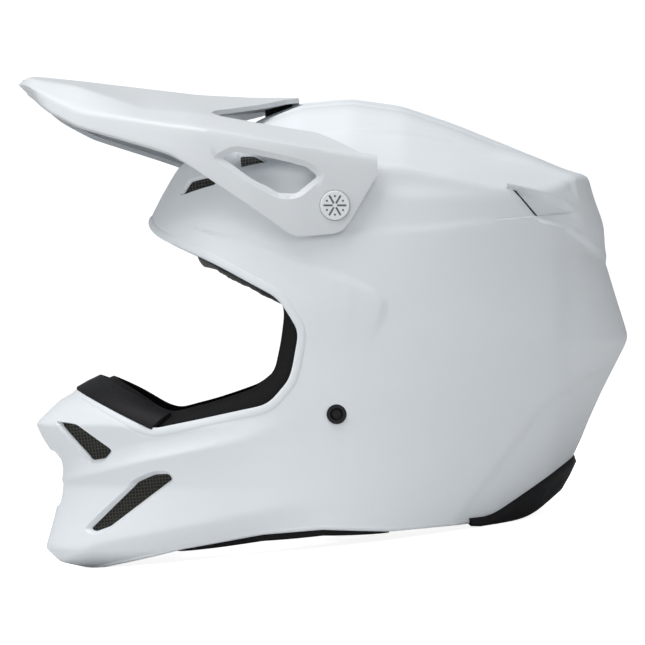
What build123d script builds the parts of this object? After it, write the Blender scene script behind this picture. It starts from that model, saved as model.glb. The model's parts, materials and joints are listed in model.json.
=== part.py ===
"""A motocross helmet, built from its separate pieces. Millimetres.

The helmet is drawn level, as it is worn: -Y is forward, +Z is up, +X is the wearer's left, and the
level origin lies inside the head on the centre plane. At the end every piece is tipped back together
so that the helmet stands on its chin and rear rim, with the origin under the middle of its box.
"""

from build123d import *
import os
from math import atan2, cos, pi, sin

# ---- Overall sizes -----------------------------------------------------------------------------
SHELL_LENGTH = 356.0
SHELL_WIDTH = 236.0
SHELL_HEIGHT = 280.0
# The outlines below are drawn at this size and grow with the three sizes above.
DRAWN_LENGTH, DRAWN_WIDTH, DRAWN_HEIGHT = 356.0, 236.0, 280.0
STANDING_TILT = 7.0  # degrees the helmet tips back when it is put down

# ---- Walls and clearances ----------------------------------------------------------------------
SHELL_WALL = 4.0
LAYER_GAP = 0.4  # between one layer of the lining and the next
RUNNING_FIT = 0.05  # radial play of a stud in its hole
VISOR_WALL = 2.6
CHIN_FOAM = 13.0
EYEPORT_CORNER = 6.0
CROWN_PAD = 9.0
CHEEK_COVER = 13.0
MESH_THICK = 1.4
STAND_FLAT = 0.8  # depth of the two flats that the helmet stands on

# ---- Visor pivot -------------------------------------------------------------------------------
KNOB_RADIUS = 8.4
KNOB_HEAD = 3.0
KNOB_STUD_RADIUS = 3.0
INSERT_RADIUS = 6.0
INSERT_LENGTH = 9.0
KNOB_SLOTS = 6
KNOB_SLOT_WIDTH = 1.1
KNOB_SLOT_DEPTH = 0.8
MAGNET_RADIUS = 6.0
MAGNET_THICK = 1.6

# ---- Chin strap --------------------------------------------------------------------------------
STRAP_WIDTH = 25.0
STRAP_THICK = 1.8
STRAP_DROP = 62.0  # from the rivets down to the level run
STRAP_SWING = 8.0  # degrees each way
STRAP_SIDE = 87.0  # from the centre plane to where the webbing hangs
RING_WIRE = 1.7
RING_INSIDE = 26.0
RING_CORNER = 2.2
RING_DEPTH = 22.0
RIVET_RADIUS = 3.0
RIVET_HEAD_RADIUS = 5.6
RIVET_CAP_DEPTH = 2.0
SNAP_RADIUS = 6.0
SNAP_CAP = 1.2
PRESS_STUD_RADIUS = 5.0
TAB_WIDTH = 20.0  # the cheek pads' pull tabs
TAB_DROP = 13.0
TAB_THICK = 1.8


def across(x):
    return x * SHELL_WIDTH / DRAWN_WIDTH


def along(y):
    return y * SHELL_LENGTH / DRAWN_LENGTH


def up(z):
    return z * SHELL_HEIGHT / DRAWN_HEIGHT


# ---- The outer form: level rings, bottom to top ------------------------------------------------
# height, front, rear, half width, widest place, roundness of the front, roundness of the rear
RINGS = [
    (-149, -150, 96, 97, 6, 1.60, 2.1),
    (-134, -167, 114, 101, 8, 1.60, 2.1),
    (-95, -158, 143, 106, 10, 1.60, 2.1),
    (-60, -171, 159, 110, 12, 1.65, 2.1),
    (-40, -152, 168, 113, 14, 1.75, 2.1),
    (-9, -130, 184, 116, 16, 1.90, 2.0),
    (16, -116, 176, 117.5, 18, 2.00, 2.0),
    (42, -107, 168, 118, 18, 2.10, 2.1),
    (58, -104, 166, 117.5, 18, 2.15, 2.2),
    (74, -96, 161, 116, 19, 2.20, 2.2),
    (91, -85, 150, 111, 20, 2.20, 2.2),
    (104, -66, 114, 96, 20, 2.20, 2.2),
    (117, -43, 80, 71, 18, 2.20, 2.2),
    (126, -25, 53, 44, 16, 2.10, 2.1),
    (132, -6, 30, 17, 12, 2.00, 2.0),
]
RING_POINTS = 24

PIVOT_Y, PIVOT_Z = along(7), up(66)
ANCHOR_Y, ANCHOR_Z = along(8), up(-52)


def ring(height, front, rear, half, widest, n_front, n_rear):
    """A closed level outline: two half superellipses that meet at the widest place."""
    points = []
    for i in range(RING_POINTS):
        a = 2 * pi * i / RING_POINTS
        n, reach = (n_rear, rear - widest) if sin(a) >= 0 else (n_front, widest - front)
        x = abs(cos(a)) ** (2 / n) * half * (1 if cos(a) >= 0 else -1)
        y = widest + abs(sin(a)) ** (2 / n) * reach * (1 if sin(a) >= 0 else -1)
        points.append((x, y))
    return Plane.XY.offset(height) * make_face(Spline(*points, periodic=True))


def form(inset):
    """The solid inside the outer form, this far in from it all round and from its top."""
    levels = []
    for z, front, rear, half, widest, n_front, n_rear in RINGS:
        height = up(z) - inset * max(0, z) / RINGS[-1][0]
        levels.append(
            ring(height, along(front) + inset, along(rear) - inset, across(half) - inset,
                 along(widest), n_front, n_rear)
        )
    return loft(levels, ruled=True)


def side_prism(outline, radius=0.0, low=-400.0, high=400.0):
    """A side-view outline of (y, z) points, drawn level, carried across from x = low to high."""
    points = [(along(y), up(z)) for y, z in outline]
    face = make_face(Polyline(*points, close=True))
    if radius:
        face = fillet(face.vertices(), radius)
    return extrude(Plane.YZ.offset(low) * face, high - low)


def mirrored(part):
    return mirror(part, about=Plane.YZ)


def half_width_at(z):
    """The outer form's half width at a level height, drawn between two rings."""
    for low, high in zip(RINGS, RINGS[1:]):
        if up(low[0]) <= z <= up(high[0]):
            share = (z - up(low[0])) / (up(high[0]) - up(low[0]))
            return across(low[3] + share * (high[3] - low[3]))
    raise ValueError(f"no ring spans the height {z}")


# ---- Side-view outlines, as (y, z) points -------------------------------------------------------
RIM = [(-148, -147.5), (-80, -129), (-34, -119.5), (0, -116), (38, -117), (97, -112.5), (150, -79)]
ABOVE_RIM = [(-220, -147.5)] + RIM + [(230, -40), (230, 200), (-220, 200)]
EYEPORT = [(-146, -38), (-99, -62), (-31, -47), (-18, -32), (-13, -5), (-25, 14), (-62, 34), (-106, 55)]
EYEPORT_CUT = EYEPORT + [(-240, 60), (-240, -38)]
EYEPORT_SEAL = [(-100, -64), (-31, -50), (-15, -33), (-10, -4), (-24, 17), (-62, 38), (-108, 60),
                (-112, 54), (-64, 31), (-27, 12), (-17, -5), (-21, -29), (-33, -44), (-95, -58)]
GUARD_BAND = [(-152, -33), (-128, -29), (-96, -54), (-99, -61.6), (-146, -37.6)]
UPPER_VENT = [(-156, -59), (-145, -60.5), (-124, -75), (-128, -80), (-136, -81.5)]
LOWER_VENT = [(-137, -121), (-108, -92.5), (-98, -88), (-90, -87.5), (-88, -90.5), (-125, -119),
              (-134, -122.5)]
BROW_VENT = [(-82, 74), (-77, 82), (-66, 84), (-62, 80)]
CROWN_VENT = [(-47, 90), (-32, 92), (-40, 97), (-48, 97)]
REAR_VENT = [(108, 79), (124, 62), (146, 56), (126, 77)]
MOUTH_VENT = [(-30, -76), (30, -76), (20, -108), (-20, -108)]  # seen from the front, as (x, z)
CHEEK = [(-62, -60), (-30, -44), (-14, -26), (-6, -6), (14, -36), (60, -52), (60, -96), (-62, -113)]
CHEEK_PLATE = [(-56, -62), (-28, -50), (40, -50), (52, -60), (52, -94), (-56, -108)]

# name: outline, and where it starts and ends across
SIDE_VENTS = {
    "upper_chin_mesh": (UPPER_VENT, 8, 110),
    "lower_chin_mesh": (LOWER_VENT, 8, 110),
    "brow_mesh": (BROW_VENT, 24, 118),
    "crown_mesh": (CROWN_VENT, 40, 118),
    "rear_mesh": (REAR_VENT, 20, 118),
}
VENT_CORNER = 1.2
MESH_MARGIN = 1.22  # how much larger a mesh panel is than its opening


def layer(outside, inside):
    """The skin between two depths below the outer form."""
    return form(outside) - form(inside)


def cross_bar(y, z, radius):
    """A cylinder right across the helmet, at a level place in the side view."""
    return Pos(0, y, z) * Rot(0, 90, 0) * Cylinder(radius, 2 * SHELL_WIDTH)


def disc(y, z, radius, low, high):
    """A cylinder along X from x = low to x = high."""
    return Pos((low + high) / 2, y, z) * Rot(0, 90, 0) * Cylinder(radius, high - low)


# ---- Shell, vents and trims --------------------------------------------------------------------
MESH_DEPTH = SHELL_WALL + LAYER_GAP
FOAM_DEPTH = MESH_DEPTH + MESH_THICK + LAYER_GAP
GUARD_DEPTH = SHELL_WALL + 2  # how far in the rear rim guard reaches


def mouth_prism(grow=0.0):
    middle = up((MOUTH_VENT[0][1] + MOUTH_VENT[2][1]) / 2)
    points = [(across(x) + (grow if x > 0 else -grow), up(z) + (grow if up(z) > middle else -grow))
              for x, z in MOUTH_VENT]
    face = make_face(Polyline(*points, close=True))
    return extrude(Plane.XZ.offset(along(110)) * fillet(face.vertices(), 4), along(90))


def outer_shell():
    skin = (layer(0, SHELL_WALL) & side_prism(ABOVE_RIM)) - side_prism(EYEPORT_CUT, EYEPORT_CORNER)
    skin -= cross_bar(PIVOT_Y, PIVOT_Z, INSERT_RADIUS + RUNNING_FIT)
    skin -= cross_bar(ANCHOR_Y, ANCHOR_Z, RIVET_HEAD_RADIUS + RUNNING_FIT)
    skin -= mouth_prism()
    for outline, low, high in SIDE_VENTS.values():
        opening = side_prism(outline, VENT_CORNER, across(low), across(high))
        skin -= opening
        skin -= mirrored(opening)
    return skin


def vent_mesh(name):
    """A panel of wire mesh behind a side vent, curved like the shell."""
    outline, low, high = SIDE_VENTS[name]
    middle_y = sum(y for y, _ in outline) / len(outline)
    middle_z = sum(z for _, z in outline) / len(outline)
    wider = [(middle_y + (y - middle_y) * MESH_MARGIN, middle_z + (z - middle_z) * MESH_MARGIN)
             for y, z in outline]
    return layer(MESH_DEPTH, MESH_DEPTH + MESH_THICK) & side_prism(wider, 0, across(low), across(high))


def mouth_grille():
    return layer(MESH_DEPTH, MESH_DEPTH + MESH_THICK) & mouth_prism(2.0)


def eyeport_seal():
    """The rubber edging just inside the eyeport, in two runs that meet over the brow."""
    return layer(MESH_DEPTH, MESH_DEPTH + MESH_THICK) & side_prism(EYEPORT_SEAL)


def nose_guard():
    """The rubber guard that rises from the chin bar's top edge, round the front."""
    return layer(-0.8, SHELL_WALL - 1) & side_prism(GUARD_BAND)


def rear_rim_guard():
    """The black moulding under the shell's lower edge at the back."""
    band = [(84, -113.9), (97, -112.9), (150, -79.4), (166, -70), (166, -84), (152, -89), (118, -113.5),
            (96, -117.5)]
    return layer(-1.0, GUARD_DEPTH) & side_prism(band)


def rim_seal():
    """The rubber moulding inside the lower edge, one run for each cheek."""
    line = [(-62, -125.5), (-34, -120.5), (0, -117.4), (38, -118.6), (80, -115)]
    band = [(y, z + 8) for y, z in line] + [(y, z - 3) for y, z in reversed(line)]
    return layer(MESH_DEPTH, MESH_DEPTH + MESH_THICK) & side_prism(band)


# ---- Impact foam and comfort lining ------------------------------------------------------------
# height, front, rear, half width of the ovals that the head cavity is lofted through
HEAD = [
    (-135, -70, 112, 84), (-60, -82, 128, 88), (10, -82, 137, 90), (45, -76, 132, 86),
    (70, -62, 118, 76), (88, -42, 96, 60), (99, -14, 66, 36), (103, 6, 44, 16),
]
HEAD_MIDDLE = 26


def head_form(inset):
    levels = []
    for z, front, rear, half in HEAD:
        height = up(z) - (inset if z > 0 else 0)
        levels.append(ring(height, along(front) + inset, along(rear) - inset, across(half) - inset,
                           along(HEAD_MIDDLE), 2.0, 2.0))
    return loft(levels, ruled=True)


def main_foam():
    """The impact foam of the head, a thick cap that stops above the cheeks."""
    keep = side_prism([(-110, 60), (-64, 39), (-24, 19), (-4, 0), (14, -33), (60, -49), (150, -66),
                       (200, -60), (200, 150), (-140, 150)])
    cap = (form(FOAM_DEPTH) - head_form(0)) & keep
    return cap - cross_bar(PIVOT_Y, PIVOT_Z, INSERT_RADIUS + LAYER_GAP)


def chin_foam():
    """The foam behind the chin bar, a curved band between the two cheek pads."""
    keep = side_prism([(-180, -42), (-146, -46), (-99, -68), (-66, -62), (-66, -123), (-148, -143),
                       (-180, -143)])
    return (layer(FOAM_DEPTH, FOAM_DEPTH + CHIN_FOAM) & keep) - mouth_prism()


def crown_pad():
    """The removable head lining, a soft cap."""
    keep = side_prism([(-100, 48), (-64, 30), (-28, 10), (0, -4), (20, -30), (90, -44), (160, -52),
                       (160, 140), (-140, 140)])
    return (head_form(LAYER_GAP) - head_form(LAYER_GAP + CROWN_PAD)) & keep


CHEEK_SPLIT = 82.0  # where a pad's firm block meets its soft cover
CHEEK_INSIDE = across(CHEEK_SPLIT)


def strap_slot():
    """The channel in a cheek pad that the chin strap hangs in, with room for its swing."""
    top, bottom = STRAP_WIDTH / 2 + 3, STRAP_WIDTH / 2 + STRAP_DROP * sin(STRAP_SWING * pi / 180) + 3
    low = -STRAP_DROP - 10
    face = make_face(Polyline((-top, 14), (top, 14), (bottom, low), (-bottom, low), close=True))
    slot = extrude(Plane.YZ.offset(STRAP_SIDE - STRAP_THICK / 2 - 2) * face, 60)
    return hang(slot)


def hang(part):
    """Turns a piece drawn under the strap's rivets so that it hangs plumb when the helmet stands."""
    return Pos(0, ANCHOR_Y, ANCHOR_Z) * Rot(STANDING_TILT, 0, 0) * part


def cheek_foam():
    """The firm block of a cheek pad, against its plate."""
    block = form(FOAM_DEPTH) & side_prism(CHEEK, 0, CHEEK_INSIDE, SHELL_WIDTH)
    return block - strap_slot()


def cheek_cover():
    """The soft face of a cheek pad, which meets the rider's cheek."""
    high = CHEEK_INSIDE - LAYER_GAP
    block = side_prism(CHEEK, 5, high - CHEEK_COVER, high)
    block = fillet(block.faces().sort_by(Axis.X)[0].edges(), 4)
    return block & form(FOAM_DEPTH)


def cheek_plate():
    """The thin plate that carries a cheek pad's snaps, between the pad and the shell."""
    plate = layer(MESH_DEPTH, MESH_DEPTH + MESH_THICK) & side_prism(CHEEK_PLATE, 4, CHEEK_INSIDE, SHELL_WIDTH)
    return plate - cross_bar(ANCHOR_Y, ANCHOR_Z, RIVET_HEAD_RADIUS + 3)


def release_tab():
    """The pull loop under a cheek pad's front corner."""
    y, z, x = along(-48), up(-111) - LAYER_GAP, CHEEK_INSIDE - CHEEK_COVER / 2
    hole = Pos(0, 0, -1) * Box(TAB_THICK * 2, TAB_WIDTH - 8, TAB_DROP - 6)
    loop = Box(TAB_THICK, TAB_WIDTH, TAB_DROP) - hole
    return Pos(x, y, z - TAB_DROP / 2) * Rot(STANDING_TILT, 0, 0) * loop


def neck_roll():
    """The padded roll round the back of the neck."""
    inside = loft([ring(up(-110), along(-60), along(106), across(74), along(16), 2.0, 2.0),
                   ring(up(-50), along(-60), along(118), across(82), along(16), 2.0, 2.0)], ruled=True)
    keep = side_prism([(64, -56), (150, -68), (150, -81), (128, -97), (100, -109), (64, -109)])
    return (form(GUARD_DEPTH + LAYER_GAP) - inside) & keep


# ---- Visor -------------------------------------------------------------------------------------
# place, ridge height, top edge (x, z), crease (x, z) and lower edge (x, z), from the tip to the arms
RIDGE_HALF = 18.0
STATIONS = [
    (-179, 141, (25, 140), (33, 138), (35, 136)),
    (-170, 145, (44, 142), (54, 135), (56, 131)),
    (-141, 142.5, (58, 137), (76, 121.5), (78, 114)),
    (-103, 138, (78, 123), (95, 115.5), (98, 101.5)),
    (-86, 136, (83, 121.5), (103, 112.5), (106, 96)),
    (-74, 134.5, (86, 120.5), (108, 111), (111, 88)),
    (-40, 132.8, (95, 113.7), (118, 104.7), (120, 65)),
    (-16, 132.8, (99, 110), (122, 100), (122, 48)),
    (12, 132.8, (101, 107.5), (122, 95.5), (122, 50.5)),
    (31, 132.8, (102, 106), (122, 93), (122, 83)),
]
VISOR_NOTCH = [(19, -12), (19, -58), (30, -66), (76, -66), (86, -58), (99, -16), (108, 40), (19, 40)]
VISOR_WINDOW = [(-58, 95), (-38, 96.5), (-9, 90), (-3, 84), (-15, 74), (-25.5, 74)]
ARM_OUTSIDE = across(122)
HUB_RADIUS, HUB_INSIDE, HUB_POCKET = 11.0, ARM_OUTSIDE - 3.8, 1.8
POCKET_RADIUS = KNOB_RADIUS + 0.2
TONGUE_END = along(-14)


def visor_loft(inset):
    levels = []
    for y, ridge, (top_x, top_z), (crease_x, crease_z), (low_x, low_z) in STATIONS:
        bottom = up(low_z) - (20 if inset else 0)
        half = [
            (RIDGE_HALF, up(ridge) - inset), (across(top_x) - 0.6 * inset, up(top_z) - 0.9 * inset),
            (across(crease_x) - inset, up(crease_z) - 0.5 * inset), (across(low_x) - inset, bottom),
        ]
        points = half + [(-x, z) for x, z in reversed(half)]
        levels.append(Plane.XZ.offset(-along(y)) * make_face(Polyline(*points, close=True)))
    return loft(levels, ruled=True)


def visor():
    inside = visor_loft(VISOR_WALL)
    body = visor_loft(0) - inside
    outline = Polyline(*[(across(x), along(y)) for x, y in VISOR_NOTCH], close=True)
    notch = extrude(make_face(outline), 2 * SHELL_HEIGHT)
    behind = Pos(0, TONGUE_END + 50, up(132)) * Box(across(2 * 60), 100, 40)
    body -= notch
    body -= mirrored(notch)
    body -= behind
    window = side_prism(VISOR_WINDOW, 2, across(90), across(140))
    hub = disc(PIVOT_Y, PIVOT_Z, HUB_RADIUS, HUB_INSIDE, ARM_OUTSIDE)
    for side in (window, mirrored(window)):
        body -= side
    body += [hub, mirrored(hub)]
    pocket = disc(PIVOT_Y, PIVOT_Z, POCKET_RADIUS, ARM_OUTSIDE - HUB_POCKET, ARM_OUTSIDE + 5)
    body -= [pocket, mirrored(pocket)]
    body -= cross_bar(PIVOT_Y, PIVOT_Z, KNOB_STUD_RADIUS + RUNNING_FIT)
    return body - magnet_at(tongue_underside(), MAGNET_RADIUS + RUNNING_FIT, VISOR_MAGNET_THICK)


# ---- Tongue magnets and their rest -------------------------------------------------------------
MAGNET_Y = along(-26)
VISOR_MAGNET_THICK = 1.4
PAD_SIZE = (20.0, 16.0)


def tongue_underside():
    return up(132.8) - VISOR_WALL


def magnet_at(bottom, radius, thick):
    return Pos(0, MAGNET_Y, bottom + thick / 2) * Cylinder(radius, thick)


def visor_stop_pad():
    """The rubber rest on the crown that carries the visor's tongue and holds its magnet."""
    top = tongue_underside() - LAYER_GAP
    block = Pos(0, MAGNET_Y, top - 6) * Box(*PAD_SIZE, 12)
    block = fillet(block.edges().filter_by(Axis.Z), 4) - form(-0.1)
    return block - magnet_at(top - MAGNET_THICK, MAGNET_RADIUS, 3 * MAGNET_THICK)


def crown_magnet():
    return magnet_at(tongue_underside() - LAYER_GAP - MAGNET_THICK, MAGNET_RADIUS - RUNNING_FIT, MAGNET_THICK)


def visor_magnet():
    return magnet_at(tongue_underside(), MAGNET_RADIUS, VISOR_MAGNET_THICK - RUNNING_FIT)


# ---- Visor knobs and their threaded inserts ----------------------------------------------------
def visor_insert():
    """The flanged bush in the shell that a knob screws into."""
    outside = HUB_INSIDE - LAYER_GAP
    inner_end = outside - INSERT_LENGTH
    bore = disc(PIVOT_Y, PIVOT_Z, KNOB_STUD_RADIUS + RUNNING_FIT, inner_end + 1, outside + 1)
    return disc(PIVOT_Y, PIVOT_Z, INSERT_RADIUS, inner_end, outside) - bore


def visor_knob():
    """A round knob with six coin slots, and the stud that the visor turns on."""
    seat = ARM_OUTSIDE - HUB_POCKET + RUNNING_FIT
    head = disc(PIVOT_Y, PIVOT_Z, KNOB_RADIUS, seat, seat + KNOB_HEAD)
    head = fillet(head.faces().sort_by(Axis.X)[-1].edges(), 0.8)
    for i in range(KNOB_SLOTS):
        angle = i * 360 / KNOB_SLOTS
        slot = Box(2 * KNOB_SLOT_DEPTH, KNOB_RADIUS * 0.62, KNOB_SLOT_WIDTH)
        dot = Rot(0, 90, 0) * Cylinder(KNOB_SLOT_WIDTH * 0.55, 2 * KNOB_SLOT_DEPTH)
        turned = Pos(seat + KNOB_HEAD, PIVOT_Y, PIVOT_Z) * Rot(angle, 0, 0)
        head -= turned * Pos(0, KNOB_RADIUS * 0.46, 0) * slot
        head -= turned * Rot(180 / KNOB_SLOTS, 0, 0) * Pos(0, KNOB_RADIUS * 0.62, 0) * dot
    stud = disc(PIVOT_Y, PIVOT_Z, KNOB_STUD_RADIUS, HUB_INSIDE - INSERT_LENGTH + 2, seat)
    return head + stud


# ---- Chin strap, drawn with its rivets' axis at the origin and hanging straight down -----------
SHELL_AT_ANCHOR = half_width_at(ANCHOR_Z)
PLATE_OUTSIDE = SHELL_AT_ANCHOR - FOAM_DEPTH - 4.0
PLATE_THICK = 1.4
STRAP_BEND = 8.0
RING_BAR_X = 30.0
STITCH_LENGTH = 16.0
TAIL_END = -46.0
LAYER_STEP = STRAP_THICK / 2 + RING_WIRE + 0.15  # from a layer of webbing to a ring beside it
STRAP_HOLE = Rot(0, 90, 0) * Cylinder(RIVET_RADIUS + 0.3, 2 * SHELL_WIDTH)


def webbing(points):
    """A run of webbing, from the corners of its centre line in the front view."""
    line = FilletPolyline(*[(x, 0, z) for x, z in points], radius=STRAP_BEND)
    section = Plane(origin=line @ 0, x_dir=(0, 1, 0), z_dir=line % 0) * Rectangle(STRAP_WIDTH, STRAP_THICK)
    return sweep(section, path=line)


def side_run(sign):
    """From a rivet plate down past the cheek pad and in to the level run."""
    return [(sign * (PLATE_OUTSIDE - PLATE_THICK - STRAP_THICK / 2 - 0.1), 7),
            (sign * (PLATE_OUTSIDE - PLATE_THICK - STRAP_THICK / 2 - 0.1), -12),
            (sign * STRAP_SIDE, -24), (sign * STRAP_SIDE, -STRAP_DROP)]


def strap_short():
    """The left webbing, whose end is folded round the two ring bars and stitched."""
    run = webbing(side_run(1) + [(RING_BAR_X + 6, -STRAP_DROP)])
    wrap = bar_loop(RING_WIRE + 0.15 + STRAP_THICK) - bar_loop(RING_WIRE + 0.15)
    under = Pos(RING_BAR_X + STITCH_LENGTH / 2 + 5, 0, -STRAP_DROP - STRAP_THICK) * Box(
        STITCH_LENGTH, STRAP_WIDTH, STRAP_THICK)
    return run + wrap + under - STRAP_HOLE


def bar_loop(radius):
    """A flattened tunnel along Y round the two ring bars."""
    face = SlotCenterToCenter(2 * RING_WIRE + 0.6, 2 * radius)
    middle = Pos(RING_BAR_X, 0, -STRAP_DROP - STRAP_THICK / 2) * Rot(90, 0, 0)
    return middle * extrude(face, STRAP_WIDTH / 2, both=True)


def strap_long():
    """The right webbing, which passes over both rings, turns round the first and comes back."""
    turn = LAYER_STEP
    arc_x = RING_BAR_X - RING_WIRE - 0.3 - RING_DEPTH
    level = -STRAP_DROP
    run = webbing(side_run(-1) + [(arc_x, level)])
    bend = Rot(90, 0, 0) * extrude(
        Pos(arc_x, level - turn) * (Circle(turn + STRAP_THICK / 2) - Circle(turn - STRAP_THICK / 2)),
        STRAP_WIDTH / 2, both=True)
    bend &= Pos(arc_x + 50, 0, level) * Box(100, 100, 100)
    tail = Pos((arc_x + TAIL_END) / 2, 0, level - 2 * turn) * Box(arc_x - TAIL_END, STRAP_WIDTH, STRAP_THICK)
    return run + bend + tail - STRAP_HOLE


def d_ring(inside, bar_x, bar_z, arc_x, arc_z):
    """A wire ring: a straight bar, two legs and a flat-topped bow, lying along X."""
    length = ((bar_x - arc_x) ** 2 + (bar_z - arc_z) ** 2) ** 0.5
    half = inside / 2 + RING_WIRE
    corners = [(0, -half), (0, half), (-length, half), (-length, -half)]
    path = FilletPolyline(*corners, radius=RING_CORNER, close=True)
    section = Plane(origin=path @ 0, z_dir=path % 0) * Circle(RING_WIRE)
    wire = sweep(section, path=path)
    lean = 180 / pi * atan2(arc_z - bar_z, bar_x - arc_x)
    return Pos(bar_x, 0, bar_z) * Rot(0, lean, 0) * wire


def first_ring():
    """The inner ring, which the long webbing turns round."""
    bar = RING_BAR_X - RING_WIRE - 0.3
    level = -STRAP_DROP
    return d_ring(RING_INSIDE, bar, level - STRAP_THICK / 2, bar - RING_DEPTH, level - LAYER_STEP)


def second_ring():
    """The outer ring, wide enough for the first to lie inside it."""
    bar = RING_BAR_X + RING_WIRE + 0.3
    level = -STRAP_DROP
    inside = RING_INSIDE + 4 * RING_WIRE + 2 * LAYER_GAP
    return d_ring(inside, bar, level - STRAP_THICK / 2, bar - RING_DEPTH - 8, level - 3 * LAYER_STEP)


def anchor_plate():
    """The metal tab that the webbing is sewn to, which turns on the rivet."""
    low = PLATE_OUTSIDE - PLATE_THICK
    face = make_face(Polyline((-12, 9), (12, 9), (12, -14), (-12, -14), close=True))
    plate = extrude(Plane.YZ.offset(low) * fillet(face.vertices(), 4), PLATE_THICK)
    return plate - Rot(0, 90, 0) * Cylinder(RIVET_RADIUS + RUNNING_FIT, 4 * PLATE_OUTSIDE)


def strap_snap():
    """The press stud that keeps the tail tidy: a cap above, the stud between the layers, a cap below."""
    x, level, cap = TAIL_END + 10, -STRAP_DROP, SNAP_CAP
    top, between = level + STRAP_THICK / 2, 2 * LAYER_STEP - STRAP_THICK
    upper = Pos(x, 0, top + cap / 2) * Cylinder(SNAP_RADIUS, cap)
    stud = Pos(x, 0, level - STRAP_THICK / 2 - between / 2) * Cylinder(PRESS_STUD_RADIUS, between)
    lower = Pos(x, 0, level - 2 * LAYER_STEP - STRAP_THICK / 2 - cap / 2) * Cylinder(SNAP_RADIUS, cap)
    return Compound(children=[upper, stud, lower])


def strap_rivet():
    """The rivet that holds the strap: a dished black head flush with the shell, and its shank."""
    outside = SHELL_AT_ANCHOR + 0.3
    head = disc(ANCHOR_Y, ANCHOR_Z, RIVET_HEAD_RADIUS, SHELL_AT_ANCHOR - SHELL_WALL, outside)
    dish = Pos(outside, ANCHOR_Y, ANCHOR_Z) * Rot(0, 90, 0) * Cone(
        RIVET_HEAD_RADIUS * 0.45, RIVET_HEAD_RADIUS * 0.86, 2 * RIVET_CAP_DEPTH)
    shank = disc(ANCHOR_Y, ANCHOR_Z, RIVET_RADIUS, PLATE_OUTSIDE - PLATE_THICK - STRAP_THICK - 0.4,
                 SHELL_AT_ANCHOR - SHELL_WALL)
    foot = disc(ANCHOR_Y, ANCHOR_Z, RIVET_HEAD_RADIUS, PLATE_OUTSIDE - PLATE_THICK - STRAP_THICK - 2.4,
                PLATE_OUTSIDE - PLATE_THICK - STRAP_THICK - 0.4)
    collar = disc(ANCHOR_Y, ANCHOR_Z, RIVET_RADIUS + 2, PLATE_OUTSIDE + 0.2, SHELL_AT_ANCHOR - SHELL_WALL)
    return head - dish + shank + foot + collar


# ---- Placing and writing out -------------------------------------------------------------------
parts = {
    "outer_shell": outer_shell(),
    "main_foam": main_foam(),
    "chin_foam": chin_foam(),
    "crown_pad": crown_pad(),
    "neck_roll": neck_roll(),
    "eyeport_seal": eyeport_seal(),
    "nose_guard": nose_guard(),
    "rim_seal": rim_seal(),
    "rear_rim_guard": rear_rim_guard(),
    "mouth_grille": mouth_grille(),
    "visor": visor(),
    "visor_stop_pad": visor_stop_pad(),
    "crown_magnet": crown_magnet(),
    "visor_magnet": visor_magnet(),
    "strap_short": hang(strap_short()),
    "strap_long": hang(strap_long()),
    "d_ring_first": hang(first_ring()),
    "d_ring_second": hang(second_ring()),
    "strap_snap": hang(strap_snap()),
}
for name, left in {
    "cheek_foam": cheek_foam(),
    "cheek_cover": cheek_cover(),
    "cheek_plate": cheek_plate(),
    "release_tab": release_tab(),
    "visor_insert": visor_insert(),
    "visor_knob": visor_knob(),
    "strap_rivet": strap_rivet(),
    "anchor_plate": hang(anchor_plate()),
    **{name: vent_mesh(name) for name in SIDE_VENTS},
}.items():
    parts[f"{name}_left"] = left
    parts[f"{name}_right"] = mirrored(left)

tipped = {name: Rot(-STANDING_TILT, 0, 0) * part for name, part in parts.items()}
boxes = [part.bounding_box() for part in tipped.values()]
floor = min(box.min.Z for box in boxes) + STAND_FLAT
middle_y = (min(box.min.Y for box in boxes) + max(box.max.Y for box in boxes)) / 2
below = Pos(0, middle_y, floor - 25) * Box(2 * SHELL_WIDTH, 2 * SHELL_LENGTH, 50)
os.makedirs("parts", exist_ok=True)
for name, part in tipped.items():
    if part.bounding_box().min.Z < floor:
        part -= below
    export_step(Pos(0, -middle_y, -floor) * part, f"parts/{name}.step")
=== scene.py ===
"""A motocross helmet dressed for a studio picture, laid out as an add-on and run as a script.

Shapes are drawn in millimetres in the helmet's level frame (as it is worn: -Y forward, +X the
wearer's left, +Z up) and are moved into the model's frame, where the helmet stands tipped back.
"""

import json
import math

import bmesh
import bpy
import numpy as np
from mathutils import Matrix, Vector
from mathutils.bvhtree import BVHTree


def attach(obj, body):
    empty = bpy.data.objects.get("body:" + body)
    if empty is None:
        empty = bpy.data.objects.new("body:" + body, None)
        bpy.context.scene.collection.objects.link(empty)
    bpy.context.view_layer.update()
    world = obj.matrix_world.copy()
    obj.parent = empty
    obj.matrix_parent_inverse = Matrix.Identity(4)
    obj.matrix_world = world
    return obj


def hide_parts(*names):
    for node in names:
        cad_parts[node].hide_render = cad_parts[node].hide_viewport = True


bl_info = {
    "name": "Motocross Helmet",
    "version": (1, 0, 0),
    "blender": (4, 5, 0),
    "location": "3D View > Sidebar > Helmet",
    "description": "Builds the helmet's shell, visor, trims, padding, strap and studio",
    "category": "Object",
}

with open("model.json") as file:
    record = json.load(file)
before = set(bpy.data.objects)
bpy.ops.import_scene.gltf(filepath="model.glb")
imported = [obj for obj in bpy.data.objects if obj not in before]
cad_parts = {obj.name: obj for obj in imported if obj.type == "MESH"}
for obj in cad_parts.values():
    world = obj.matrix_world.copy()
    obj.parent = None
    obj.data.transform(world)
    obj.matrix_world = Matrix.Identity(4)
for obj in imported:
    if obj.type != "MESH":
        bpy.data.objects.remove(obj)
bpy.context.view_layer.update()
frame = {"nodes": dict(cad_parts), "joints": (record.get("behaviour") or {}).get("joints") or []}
JOINTS = {joint["name"]: joint for joint in frame["joints"]}
MM = 0.001

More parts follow.
